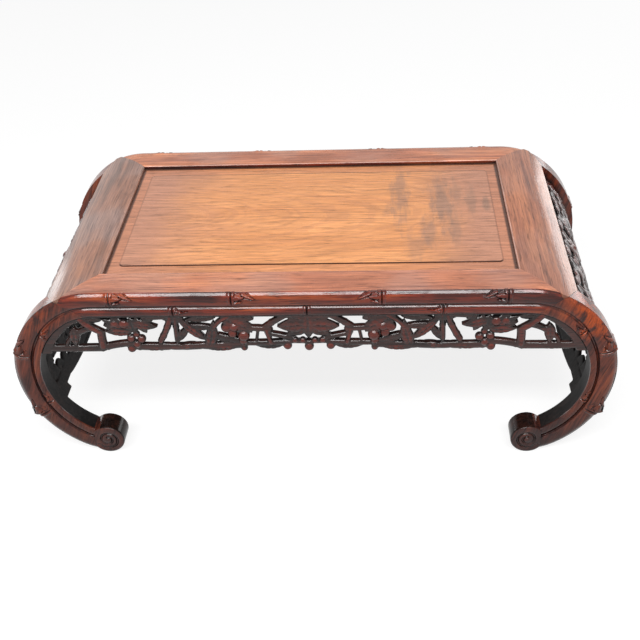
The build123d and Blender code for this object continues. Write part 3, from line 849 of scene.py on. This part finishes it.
def keep_heights(piece):
    """Remember how far each point stands out of the board, in millimetres, for the finish."""
    heights = piece.data.attributes.new("carved_height", "FLOAT", "POINT")
    for point, height in zip(piece.data.vertices, heights.data):
        height.value = -point.co.y / mm


strip_stations = stations(-spandrel_last, spandrel_last, [], 4 * mm)
strip = loft("strip", strip_stations, spandrel_section)
cut_flat(strip, (0, 0, apron_end_z), (0, 0, -1))
half = joined("half", apron_forms)
half_twin = mirrored(half, "half_twin", "x")
front_apron = joined("front_apron_carving", [half, half_twin, strip])
face_out(front_apron)
carve_together(front_apron, 0.95 * mm, 2, keep=0.49)
keep_heights(front_apron)
front_apron.data.transform(Matrix.Translation((0, -apron_mid, 0)))
rear_apron = mirrored(front_apron, "rear_apron_carving", "y")
replace_node(front_apron, "front_apron")
replace_node(rear_apron, "rear_apron")
print("apron size", [round(v, 4) for v in front_apron.dimensions])

# %% [markdown]
# ## The end panels
#
# Each end is closed by a pierced panel that is bent to the same C curve and set back between the
# legs. Its lower edge has an ear beside each leg, a small cusp, and a long hanging middle. Climbing
# vines fill its window, with a flower over the middle. The pattern is laid out flat, as for the
# apron, with v running down from the top edge. The border is made of flat bars with broken edges.

# %% Half of the end panel's pattern
end_top = c_distance(shoulder_turn)
end_bottom_turn = radians(127)
end_drop = (c_distance(end_bottom_turn) - end_top) / mm
end_side = (leg_back - fit) / mm
border, lower_rail = 15.0, 22.0
ear_width, ear_drop = 52.0, 11.0
window_low = -end_drop + ear_drop + lower_rail
window_curl = 14
bead_width, bead_line = 7, 2
bead_form = {"level": 4, "depth": 4}
vine_roots = (18, 54, 90, 126, 159)
rungs, rung_rise = 8, 26
bunch = ((0, -14), (10, -16), (4, -23), (14, -25))
flower_v, petal_length, petals = -62, 24, 6


def bar(left, right, high, low):
    """A flat bar of the border, with its edges broken."""
    bpy.ops.object.select_all(action="DESELECT")
    middle = ((left + right) / 2 * mm, 0, (high + low) / 2 * mm)
    size = ((right - left) * mm, 2 * board_half * mm, (high - low) * mm)
    bpy.ops.mesh.primitive_cube_add(size=1, location=middle, scale=size)
    bpy.ops.object.transform_apply(location=True, rotation=True, scale=True)
    bpy.ops.object.mode_set(mode="EDIT")
    bpy.ops.mesh.select_all(action="SELECT")
    bpy.ops.mesh.bevel(offset=1.5 * mm, segments=2)
    bpy.ops.object.mode_set(mode="OBJECT")
    return bpy.context.object


def end_border():
    """The border of one half, and the raised bead with a round corner that frames its window."""
    side, top = end_side - border - bead_line, -border - bead_line
    middle_v = -end_drop + ear_drop + 3
    return [
        bar(end_side - border, end_side, 0, -end_drop),
        bar(-1, end_side, 0, -border),
        bar(-1, end_side - 1, window_low, -end_drop + ear_drop),
        bar(end_side - ear_width, end_side - 1, window_low, -end_drop),
        stem((-118, middle_v), (118, middle_v), 9, -9),
        stem((side, window_low), (side, -border - window_curl), bead_width, **bead_form),
        stem((side, -border - window_curl + 2), (side - window_curl, top), bead_width, 4, **bead_form),
        stem((side - window_curl + 2, top), (-4, top), bead_width, **bead_form),
    ]


def vine(number, root):
    """A climbing vine: at every node a leaf to either side, and often a bunch of berries."""
    forms = []
    node = (root + 4 * sin(3 * number), window_low - 10)
    for rung in range(rungs):
        last = node
        side = 1 if (number + rung) % 2 else -1
        u = root + 7 * sin(1.9 * rung + 2.3 * number)
        v = window_low - 12 + rung_rise * (rung + 1) + 4 * sin(2.1 * number + rung)
        node = (u, v)
        forms.append(stem(last, node, 9, 4 * side, level=0.6, joints=(0.5,)))
        broad = 1.0 + 0.5 * (rung < 3) + 0.7 * (number == 4 and rung < 5)
        tip = (u + 31 * side, v - 9 + 8 * sin(rung + number))
        forms.append(leaf(node, tip, 16 * broad, 3 * side, level=3.0, rise=5.5))
        forms.append(leaf((u - 2, v), (u - 26 * side, v - 15), 14 * broad, -2 * side, level=0.2))
        if (number + 2 * rung) % 3 == 0:
            forms += [berry((u + side * across, v + down), 6.0, level=2.5) for across, down in bunch]
    return forms


end_forms = end_border()
for number, root in enumerate(vine_roots):
    end_forms += vine(number, root)
for petal in range(petals):
    heading = radians(360 / petals * petal + 30)
    tip = (petal_length * cos(heading), flower_v + petal_length * sin(heading))
    end_forms.append(leaf((0, flower_v), tip, 17, level=3.0, rise=5.5))
end_forms.append(berry((0, flower_v), 6.5, level=6.0))
print("forms in half an end panel", len(end_forms))

# %% [markdown]
# A bent board is hard to carve point by point, so the panel is melted into one flat board first,
# and only then laid on the curve. It is also thinned towards its back, which leaves it slimmer than
# its solid: between the legs such a panel lies well back in their shade.

# %% Right and left end panels
end_recess = 8 * mm
end_thickness = 12 * mm
end_thinning = 0.58
end_back = board_half * mm

end_half = joined("end_half", end_forms)
end_twin = mirrored(end_half, "end_twin", "x")
right_end = joined("right_end_carving", [end_half, end_twin])
carve_together(right_end, 1.5 * mm, 3, keep=0.71)
keep_heights(right_end)
for point in right_end.data.vertices:
    across, deep, up = point.co
    deep = end_back - end_thinning * (end_back - deep)
    point.co = on_c(end_top - min(0.0, up), across, end_recess + end_thickness / 2 + deep)
face_out(right_end)
bpy.ops.object.shade_smooth()
left_end = mirrored(right_end, "left_end_carving", "x")
replace_node(right_end, "right_end_panel")
replace_node(left_end, "left_end_panel")
print("end panel size", [round(v, 4) for v in right_end.dimensions])

# %% [markdown]
# ## Sums of sockets
#
# A material is a network of nodes, and most of it is arithmetic. The small class below wraps a
# socket, so that sums can be written as Python sums, and each sign adds its Math node. Its node
# method adds any other node, from its type, its settings and the values or wires of its sockets.

# %% The wire class
class Wire:
    """A socket of a node network. Arithmetic on wires adds Math nodes; node() adds any other."""

    def __init__(self, tree, socket=None):
        self.tree, self.socket = tree, socket

    def node(self, kind, settings, sockets, output=0):
        added = self.tree.nodes.new("ShaderNode" + kind)
        for name, value in settings.items():
            setattr(added, name, value)
        for name, value in sockets.items():
            if isinstance(value, Wire):
                self.tree.links.new(value.socket, added.inputs[name])
            else:
                added.inputs[name].default_value = value
        return Wire(self.tree, added.outputs[output])

    def maths(self, operation, *values):
        return self.node("Math", {"operation": operation}, dict(enumerate(values)))

    def __add__(self, other):
        return self.maths("ADD", self, other)

    def __sub__(self, other):
        return self.maths("SUBTRACT", self, other)

    def __rsub__(self, other):
        return self.maths("SUBTRACT", other, self)

    def __mul__(self, other):
        return self.maths("MULTIPLY", self, other)

    def __truediv__(self, other):
        return self.maths("DIVIDE", self, other)

    def __pow__(self, other):
        return self.maths("POWER", self, other)

    def __lt__(self, other):
        return self.maths("LESS_THAN", self, other)

    def __abs__(self):
        return self.maths("ABSOLUTE", self)

    __radd__, __rmul__ = __add__, __mul__

    def or_more(self, other):
        """The higher of the two."""
        return self.maths("MAXIMUM", self, other)

    def between(self, low, high):
        """0 below low and 1 above high, with a soft slope between them."""
        return self.node("MapRange", {"interpolation_type": "SMOOTHSTEP"},
                         {"Value": self, "From Min": low, "From Max": high})

    def mixed(self, first, second):
        """Mix two colours, with this wire as the share of the second."""
        return self.node("Mix", {"data_type": "RGBA"}, {0: self, 6: first, 7: second}, output=2)

    def xyz(self):
        """The three numbers of a vector."""
        split = self.node("SeparateXYZ", {}, {"Vector": self}).socket.node
        return [Wire(self.tree, output) for output in split.outputs]


print("wires ready")

# %% [markdown]
# ## Rosewood
#
# One function makes every wood of the table, because it is one kind of timber. It has slow bands of
# heartwood, streaks and short dark pores along the grain, and grey patches of painted sheen. Each is
# noise, squeezed along the grain by a Mapping node. Carved wood also gets painted shade, with some
# grime: an Ambient Occlusion node finds the hollows that no cloth reaches, and darkens them. It is
# used twice, once for deep hollows and once for fine cuts. The polish is a clear gloss, so only
# colour, roughness and a small bump change over the surface.

# %% The wood of the table
# Grey of the patches of painted sheen, which stand in for reflections in the polish.
sheen_patch_grey = (0.30, 0.24, 0.23, 1)
# Near-black of the painted shade, with some grime, in the hollows.
shade_and_grime_colour = (0.010, 0.009, 0.010, 1)
drift_reach = (0.014, 0.014, 0.014)
deep_hollow, fine_cut = 9 * mm, 2.5 * mm


def noise(vector, scale, detail, roughness=0.5):
    """Cloudy noise. More detail lays finer clouds over it."""
    return vector.node("TexNoise", {}, {"Vector": vector, "Scale": scale, "Detail": detail,
                                        "Roughness": roughness})


def stretched_noise(vector, scale, squeeze, detail, roughness=0.55):
    """Noise whose grains are long in X and this many times narrower across."""
    squeezed = vector.node("Mapping", {}, {"Vector": vector, "Scale": (1, squeeze, squeeze)})
    return noise(squeezed, scale, detail, roughness)


def wood(name, dark, mid, light, grain=(0, 0, 0), seed=0.0, gloss=0.24, contrast=1.0, sheen_patches=0.0,
         soot=0.0, shine=0.33, figure=None):
    """Polished rosewood. grain turns the pattern, whose fibres otherwise run along X."""
    material = bpy.data.materials.new(name)
    material.use_nodes = True
    tree = material.node_tree
    shader = tree.nodes["Principled BSDF"]
    place = Wire(tree).node("TexCoord", {}, {}, output=3)
    shift = (seed, seed / 3, seed / 7)
    turned = place.node("Mapping", {}, {"Vector": place, "Rotation": grain, "Location": shift})
    drift = place.node("TexNoise", {}, {"Vector": turned, "Scale": 5.0, "Detail": 2.0}, output=1)
    drift = place.node("VectorMath", {"operation": "MULTIPLY_ADD"}, {0: drift, 1: drift_reach, 2: turned})

    bands = stretched_noise(drift, 4.0, 7.0, 4.0)
    streaks = stretched_noise(drift, 6.0, 24.0, 5.0, 0.62)
    fine = stretched_noise(drift, 11.0, 31.0, 5.0, 0.75)
    pores = stretched_noise(drift, 34.0, 14.0, 2.0).between(0.56, 0.70)
    clouds = noise(turned, 9.0, 3.0)

    tone = 0.5 * bands + 0.3 * streaks + 0.2 * clouds
    base = tone.between(0.42, 0.51).mixed(dark + (1,), mid + (1,))
    base = tone.between(0.50, 0.60).mixed(base, light + (1,))
    if figure:
        base = figure(place, base, streaks)
    # Painted sheen: grey patches that stand in for reflections in the polish.
    if sheen_patches:
        base = (sheen_patches * clouds.between(0.40, 0.65)).mixed(base, sheen_patch_grey)
    grain_light = 1 + contrast * (2.5 * (fine - 0.5) + 0.45 * (streaks - 0.5)) - 0.45 * contrast * pores
    base = place.node("VectorMath", {"operation": "SCALE"}, {0: base, "Scale": grain_light})
    # Painted shade, with some grime, darkens the deep hollows and the fine cuts.
    if soot:
        for hollow in (deep_hollow, fine_cut):
            open_air = place.node("AmbientOcclusion", {"samples": 8}, {"Distance": hollow}, output=1)
            base = (soot * (1 - open_air.between(0.40, 0.96))).mixed(base, shade_and_grime_colour)
    wear = noise(place, 38.0, 3.0)
    relief = 0.6 * fine - 0.8 * pores
    skin = place.node("Bump", {}, {"Strength": 0.2, "Distance": 0.3 * mm, "Height": relief})
    roughness = gloss + 0.06 * pores + 0.12 * (wear - 0.5)
    for socket, wire in (("Base Color", base), ("Roughness", roughness), ("Normal", skin)):
        tree.links.new(wire.socket, shader.inputs[socket])
    shader.inputs["Specular IOR Level"].default_value = shine
    return material


print("wood recipe ready")

# %% [markdown]
# ## The figured panel
#
# The panel is the show piece. It was sawn so that the growth rings run out in long flames, which is
# what a board shows when it cuts cone-shaped rings. So the ring number is the distance from a
# slanting axis. It is golden in the middle and browner at the ends, and near its right end curly
# grain throws grey-brown patches across it. Painted shade lies in the corners against the frame and
# along the small step round the raised field.

# %% Figure of the panel
flame_slant = 0.24
flame_depth = 0.085
flame_waver = 0.035
ring_pitch = 0.007
ring_colour = (0.50, 0.21, 0.100, 1)
# Each patch: its place along and across the panel, half its width, half its length, its strength.
panel_patches = [
    (0.140, 0.060, 0.015, 0.085, 0.62), (0.205, 0.030, 0.017, 0.085, 0.85),
    (0.185, -0.055, 0.014, 0.045, 0.62), (0.160, -0.090, 0.015, 0.042, 0.38),
    (0.224, -0.045, 0.009, 0.045, 0.55), (0.230, 0.060, 0.010, 0.045, 0.55),
    (0.254, 0.035, 0.008, 0.050, 0.60), (0.276, 0.028, 0.006, 0.020, 0.85),
    (0.118, 0.010, 0.008, 0.030, 0.35),
]
patch_colour = (0.34, 0.185, 0.125, 1)
patch_raggedness = 3.2
panel_end_colour = (0.50, 0.235, 0.155, 1)
border_colour = (0.54, 0.20, 0.10, 1)
# Colour of the painted shade against the frame and along the step of the raised field.
corner_shade_colour = (0.050, 0.018, 0.011, 1)
field_side = opening_y - 26.5 * mm
field_end = opening_x - 19 * mm
field_corner = 7 * mm


def panel_shade_lines(x, y):
    """Where painted shade lies: along the step of the raised field, and against the frame."""
    end, side = abs(x), abs(y)
    past_end = (end - (field_end - field_corner)).or_more(0.0)
    past_side = (side - (field_side - field_corner)).or_more(0.0)
    from_step = abs((past_end * past_end + past_side * past_side)**0.5 - field_corner)
    strength = 0.30 + 0.65 * past_side.between(0, field_corner)
    line = (1 - from_step.between(0.6 * mm, 1.8 * mm)) * strength
    edge = end.between(opening_x - 6.5 * mm, opening_x - 3 * mm)
    back_edge = y.between(opening_y - 7.5 * mm, opening_y - 3.5 * mm)
    return line.or_more(0.92 * edge).or_more(0.9 * back_edge)


def panel_figure(place, base, streaks):
    """Flames, grey-brown patches, browner ends, and painted shade against the frame."""
    x, y = place.xyz()[:2]
    wobble = noise(place, 11.0, 3.0)
    reach = (y * y + (flame_depth + flame_slant * x)**2)**0.5 + flame_waver * (wobble - 0.5)
    rings = place.node("TexNoise", {"noise_dimensions": "1D"},
                       {"W": reach / ring_pitch, "Scale": 1.0, "Detail": 2.0})
    base = (0.30 * rings.between(0.47, 0.58)).mixed(base, ring_colour)
    outward = (x * x / 0.1 + 0.5 * (wobble - 0.5)).between(0.08, 0.75)
    base = (0.90 * outward).mixed(base, panel_end_colour)
    curl = place.node("Mapping", {}, {"Vector": place, "Scale": (4.4, 1, 1)})
    ragged = noise(curl, 19.0, 4.0, 0.6)
    for patch_x, patch_y, half_width, half_length, strength in panel_patches:
        away = (((x - patch_x) / half_width)**2 + ((y - patch_y) / half_length)**2)**0.5
        spot = 1 - (away + patch_raggedness * (ragged - 0.5)).between(0.30, 1.45)
        base = (strength * spot).mixed(base, patch_colour)
    outside = 1 - (abs(x) < field_end) * (abs(y) < field_side)
    base = (0.42 * outside).mixed(base, border_colour)
    # Painted shade against the frame and along the field's step.
    return panel_shade_lines(x, y).mixed(base, corner_shade_colour)


print("panel patches", len(panel_patches))

# %% [markdown]
# ## Worn edges and a painted highlight
#
# Hands wear the dark stain off the legs where the top rolls over, and orange wood shows through in
# blotches. Lower down the legs grow darker, and the feet are nearly black. On the frame, a painted
# highlight lies along the arris next to the panel, weaker on the left end member.

# %% Figures of the legs and the frame
worn_colour = (0.46, 0.070, 0.008, 1)
foot_colour = (0.036, 0.017, 0.016, 1)
# A pale line of painted highlight on the arris next to the panel.
arris_highlight_colour = (0.80, 0.50, 0.41, 1)
worn_reach = (0.350, 0.405)
worn_heights = (0.195, 0.250)
# Heights over which the legs grow darker towards the foot.
darker_low_heights = (0.045, 0.15)


def leg_figure(place, base, streaks):
    """Orange wear at the shoulder, and darker towards the foot."""
    x, y, z = place.xyz()
    blotch = noise(place, 34.0, 4.0, 0.62)
    shoulder = abs(x).between(*worn_reach) * z.between(*worn_heights)
    worn = shoulder * (blotch + 0.5 * (streaks - 0.5)).between(0.42, 0.60)
    handled = (0.35 + 0.55 * x.between(-0.2, 0.2)) * (1 - 0.8 * y.between(-0.1, 0.1))
    base = (handled * worn).mixed(base, worn_colour)
    low = 1 - z.between(*darker_low_heights)
    return (0.75 * low * (0.4 + blotch)).mixed(base, foot_colour)


def arris_highlight_figure(place, base, streaks):
    """A painted highlight along the arris next to the panel."""
    x, y = place.xyz()[:2]
    outside = (abs(x) - opening_x).or_more(abs(y) - opening_y)
    line = outside.between(-0.5 * mm, 0.4 * mm) * (1 - outside.between(1.0 * mm, 2.0 * mm))
    less_at_left = 0.35 + 0.65 * x.between(-opening_x, 8 * mm - opening_x)
    return (line * (0.2 + 0.9 * streaks) * less_at_left).mixed(base, arris_highlight_colour)


print("orange wear between heights", worn_heights)

# %% [markdown]
# ## The woods
#
# Each wood is the one recipe with its own three tones, from the dark to the light of its bands. The
# flat top is golden to brown, the mouldings and legs are stained dark red, and the inner faces under
# the table are painted near-black as shade. Fibres run along a board, so the end members have theirs
# across the table, and the legs have them on a slant, as their curve is sawn out of a plank.

# %% Woods of the plain pieces
crosswise = (0, 0, pi / 2)
down_the_leg = (0, radians(70), 0)

panel_wood = wood("panel_rosewood", (0.73, 0.300, 0.112), (0.78, 0.330, 0.124), (0.84, 0.365, 0.142),
                  seed=3.1, gloss=0.28, contrast=0.80, figure=panel_figure)
frame_wood = wood("frame_rosewood", (0.42, 0.150, 0.085), (0.56, 0.205, 0.110), (0.68, 0.26, 0.130),
                  seed=1.7, gloss=0.26, contrast=0.9, sheen_patches=0.30, figure=arris_highlight_figure)
left_end_wood = wood(
    "left_end_rosewood", (0.22, 0.110, 0.075), (0.34, 0.160, 0.105), (0.43, 0.195, 0.115),
    grain=crosswise, seed=4.4, gloss=0.13, contrast=0.9, sheen_patches=0.50, figure=arris_highlight_figure)
right_end_wood = wood(
    "right_end_rosewood", (0.28, 0.100, 0.058), (0.41, 0.150, 0.080), (0.52, 0.195, 0.095),
    grain=crosswise, seed=5.6, gloss=0.13, contrast=0.9, sheen_patches=0.20, figure=arris_highlight_figure)
moulding_wood = wood(
    "moulding_rosewood", (0.055, 0.007, 0.004), (0.185, 0.021, 0.007), (0.34, 0.062, 0.014),
    seed=6.2, gloss=0.13, contrast=1.5, soot=0.85, shine=0.39)
leg_wood = wood("leg_rosewood", (0.060, 0.013, 0.008), (0.165, 0.034, 0.017), (0.27, 0.060, 0.022),
                grain=down_the_leg, seed=8.3, gloss=0.15, contrast=1.1, soot=0.65, figure=leg_figure)
# Near-black wood, painted as shade on the faces inside the table.
inner_shade_wood = wood("sooty_rosewood", (0.008, 0.007, 0.007), (0.013, 0.011, 0.011), (0.022, 0.016, 0.015),
                  grain=down_the_leg, seed=2.2, gloss=0.48, contrast=1.3, shine=0.10)
scroll_wood = wood("scroll_rosewood", (0.014, 0.008, 0.007), (0.030, 0.012, 0.009), (0.060, 0.020, 0.012),
                   grain=down_the_leg, seed=7.4, gloss=0.12, contrast=1.1, shine=0.16)
hidden_wood = wood("batten_rosewood", (0.050, 0.028, 0.022), (0.085, 0.045, 0.033), (0.12, 0.060, 0.042),
                   grain=crosswise, seed=12.5, gloss=0.5, shine=0.15)
print("woods", len(bpy.data.materials))

# %% [markdown]
# ## Carved wood
#
# On the carvings the leaves and berries stand out of the board and are rubbed red, while stems lie
# lower and keep the dark base, and the board's depth is painted near-black as shade. Each carved
# mesh remembers how far each point stood out of the board when it was laid out, as an attribute,
# and this finish mixes its two colours by that height.

# %% Wood of the carvings
carving_red = (0.145, 0.020, 0.010, 1)
# The depth of the board is painted near-black as shade, between these heights.
depth_shade_black = (0.014, 0.012, 0.012, 1)
rubbed_heights = (5.4, 7.4)
shaded_depth_heights = (-5.0, 1.0)


def carving_figure(place, base, streaks):
    """Rubbed red where the carving stands out, and near-black painted shade in its depth."""
    height = place.node("Attribute", {"attribute_name": "carved_height"}, {}, output=2)
    blotch = noise(place, 60.0, 3.0)
    proud = (height + 2.5 * (blotch - 0.5)).between(*rubbed_heights)
    base = (0.9 * proud).mixed(base, carving_red)
    return (1 - height.between(*shaded_depth_heights)).mixed(base, depth_shade_black)


carving_wood = wood(
    "carving_rosewood", (0.018, 0.009, 0.008), (0.042, 0.016, 0.013), (0.080, 0.024, 0.018),
    seed=9.9, gloss=0.13, contrast=1.2, soot=0.97, shine=0.42, figure=carving_figure)
print("carving wood is red above", rubbed_heights[0], "mm")

# %% [markdown]
# Every piece and every solid that stays in view now gets its wood. Some have more than one, chosen
# face by face. A long rail has light frame wood on its flat top, and dark moulding wood from the
# cane on. The inner and back faces of the legs, feet and end panels are painted near-black as shade.

# %% Give each piece its wood
stained_from = cane_root - 3.2 * mm
inner_from = thin_root - 1 * mm
rim_width = 10 * mm
scroll_reach = sole_x + 12 * mm


def dress(piece, *woods, choose=None):
    """Give a piece its woods. choose(face) gives the wood of a face, counted from 0."""
    piece.data.materials.clear()
    for material in woods:
        piece.data.materials.append(material)
    if choose:
        for face in piece.data.polygons:
            face.material_index = int(choose(face))


def stained_dark(face):
    """True on the cane and under the rail, where the dark stain begins."""
    return abs(face.center.y) > stained_from or face.normal.z < 0.3


def in_inner_shade(face):
    """True on a leg's inner face, and on its back below the rim that shows outside: painted shade."""
    toward_middle = face.normal.x * (1 if face.center.x > 0 else -1)
    inset = haunch_radius - hypot(abs(face.center.x) - haunch_x, face.center.z - knee_z)
    in_rim = face.center.z > knee_z and inset < rim_width
    back = abs(face.normal.y) > 0.5 and not in_rim
    return abs(face.center.y) < inner_from and (toward_middle < -0.2 or back)


def foot_slot(face):
    """0 on the carved face of a foot, 1 round its scroll and 2 on its back, painted near-black as shade."""
    if face.normal.y * face.center.y < 0 and abs(face.normal.y) > 0.6:
        return 2
    return abs(face.normal.y) < 0.6 and abs(face.center.x) < scroll_reach


def faces_inwards(face):
    """True on the side of an end panel that faces the space under the table."""
    side = 1 if face.center.x > 0 else -1
    inwards = Vector((haunch_x * side - face.center.x, 0, knee_z - face.center.z)).normalized()
    return face.normal.dot(inwards) > -0.3


for name, piece in made.items():
    if "rail_moulding" in name:
        dress(piece, frame_wood, moulding_wood, choose=stained_dark)
    elif "bead_moulding" in name:
        dress(piece, moulding_wood)
    elif name.endswith("leg"):
        dress(piece, leg_wood, inner_shade_wood, choose=in_inner_shade)
    elif name.endswith("foot"):
        dress(piece, leg_wood, scroll_wood, inner_shade_wood, choose=foot_slot)
    elif "apron" in name:
        dress(piece, carving_wood)
    else:
        # The side of an end panel that faces under the table is painted near-black as shade.
        dress(piece, carving_wood, inner_shade_wood, choose=faces_inwards)
dress(solids["top_panel"], panel_wood)
dress(solids["top_left_end"], left_end_wood)
dress(solids["top_right_end"], right_end_wood)
for name, solid in solids.items():
    if "batten" in name or "dowels" in name or "pins" in name:
        dress(solid, hidden_wood)
print("dressed", sorted(made))

# %% [markdown]
# ## Stage
#
# A pale floor, a white surround and soft lamps, as in a plain studio. The white is the colour that
# the camera and the polish see. The light that falls on the wood is set apart from it, so a white
# room doesn't wash out dark timber.

# %% Floor and surround
surround_light = 0.25
floor_grey = (0.20, 0.20, 0.20, 1)
seen_grey = (0.24, 0.24, 0.24, 1)
seen_glow = (0.83, 0.83, 0.83, 1)


def seen_or_mirrored(tree):
    """1 for rays from the camera, and for those that polish or glass sends on."""
    rays = tree.nodes.new("ShaderNodeLightPath")
    from_camera, from_polish, from_glass = (
        Wire(tree, rays.outputs[name]) for name in ("Is Camera Ray", "Is Glossy Ray", "Is Transmission Ray"))
    return from_camera.or_more(from_polish).or_more(from_glass)


world = bpy.data.worlds.new("surround")
bpy.context.scene.world = world
world.use_nodes = True
background = world.node_tree.nodes["Background"]
background.inputs["Color"].default_value = (1, 1, 1, 1)
surround_strength = surround_light + (1 - surround_light) * seen_or_mirrored(world.node_tree)
world.node_tree.links.new(surround_strength.socket, background.inputs["Strength"])

bpy.ops.object.select_all(action="DESELECT")
bpy.ops.mesh.primitive_plane_add(size=24, location=(0, 0, 0))
floor = bpy.context.object
floor.name = "floor"
floor_paint = bpy.data.materials.new("floor_paint")
floor_paint.use_nodes = True
floor_tree = floor_paint.node_tree
floor_shader = floor_tree.nodes["Principled BSDF"]
seen = seen_or_mirrored(floor_tree)
floor_colour = seen.mixed(floor_grey, seen_grey)
floor_tree.links.new(floor_colour.socket, floor_shader.inputs["Base Color"])
floor_glow = seen.mixed((0, 0, 0, 1), seen_glow)
floor_tree.links.new(floor_glow.socket, floor_shader.inputs["Emission Color"])
floor_shader.inputs["Emission Strength"].default_value = 1.0
floor_shader.inputs["Roughness"].default_value = 0.9
floor_shader.inputs["Specular IOR Level"].default_value = 0.0
dress(floor, floor_paint)
print("floor size", [round(v, 1) for v in floor.dimensions[:2]])

# %% [markdown]
# Polished wood shows its lamps. A long, narrow lamp high in front draws the bright lines along the
# canes. A wide, weak one overhead lights the top, and two low lamps behind draw the broad sheen on
# the rolled ends. Their brightness is given per area, so that a lamp can change its size without
# changing how bright its reflection is.

# %% Lamps
def lamp(name, place, aim, width, height, brightness):
    """A soft rectangular lamp that looks at a point. Brightness is per area, where white is 1."""
    data = bpy.data.lights.new(name, "AREA")
    data.shape = "RECTANGLE"
    data.size, data.size_y = width, height
    data.energy = brightness * pi * width * height
    light = bpy.data.objects.new(name, data)
    bpy.context.collection.objects.link(light)
    light.location = place
    light.rotation_mode = "QUATERNION"
    light.rotation_quaternion = (Vector(aim) - Vector(place)).to_track_quat("-Z", "Y")


lamp("long_lamp", (-0.15, -1.55, 2.2), (-0.15, -0.2, 0.28), 2.8, 0.42, 16)
lamp("sky_lamp", (0, 0.5, 2.4), (0, 0, 0.3), 1.8, 1.2, 1.7)
lamp("right_back_lamp", (2.1, 2.3, 0.50), (0.3, 0, 0.25), 1.0, 0.8, 3.2)
lamp("left_back_lamp", (-2.6, 2.2, 0.40), (-0.3, 0, 0.25), 0.7, 0.6, 3.0)
print("lamps", len(bpy.data.lights))

# %% [markdown]
# ## Camera
#
# The camera looks down at the table from in front and above, a little right of its middle, turned
# slightly to the left and tilted. Its place is a real place in the room, and the lens is given by
# the distance at which the picture's width in pixels is seen true.

# %% Camera
picture_width = 640
focal_pixels = 970
camera_place = (105.42 * mm, -1342.31 * mm, 1103.13 * mm)
camera_yaw, camera_pitch, camera_roll = radians(-4.4448), radians(36.8334), radians(-3.1619)

camera_data = bpy.data.cameras.new("view")
camera_data.sensor_width = 36
camera_data.lens = focal_pixels / picture_width * camera_data.sensor_width
camera = bpy.data.objects.new("camera", camera_data)
bpy.context.collection.objects.link(camera)
ahead = cos(camera_pitch)
forward = Vector((sin(camera_yaw) * ahead, cos(camera_yaw) * ahead, -sin(camera_pitch)))
level = Vector((cos(camera_yaw), -sin(camera_yaw), 0))
upward = level.cross(forward)
tilted = level * cos(camera_roll) + upward * sin(camera_roll)
upright = upward * cos(camera_roll) - level * sin(camera_roll)
camera.location = camera_place
camera.rotation_mode = "QUATERNION"
camera.rotation_quaternion = Matrix((tilted, upright, -forward)).transposed().to_quaternion()
bpy.context.scene.camera = camera
bpy.context.scene.view_settings.view_transform = "Standard"
print("lens", round(camera_data.lens, 2), "mm")
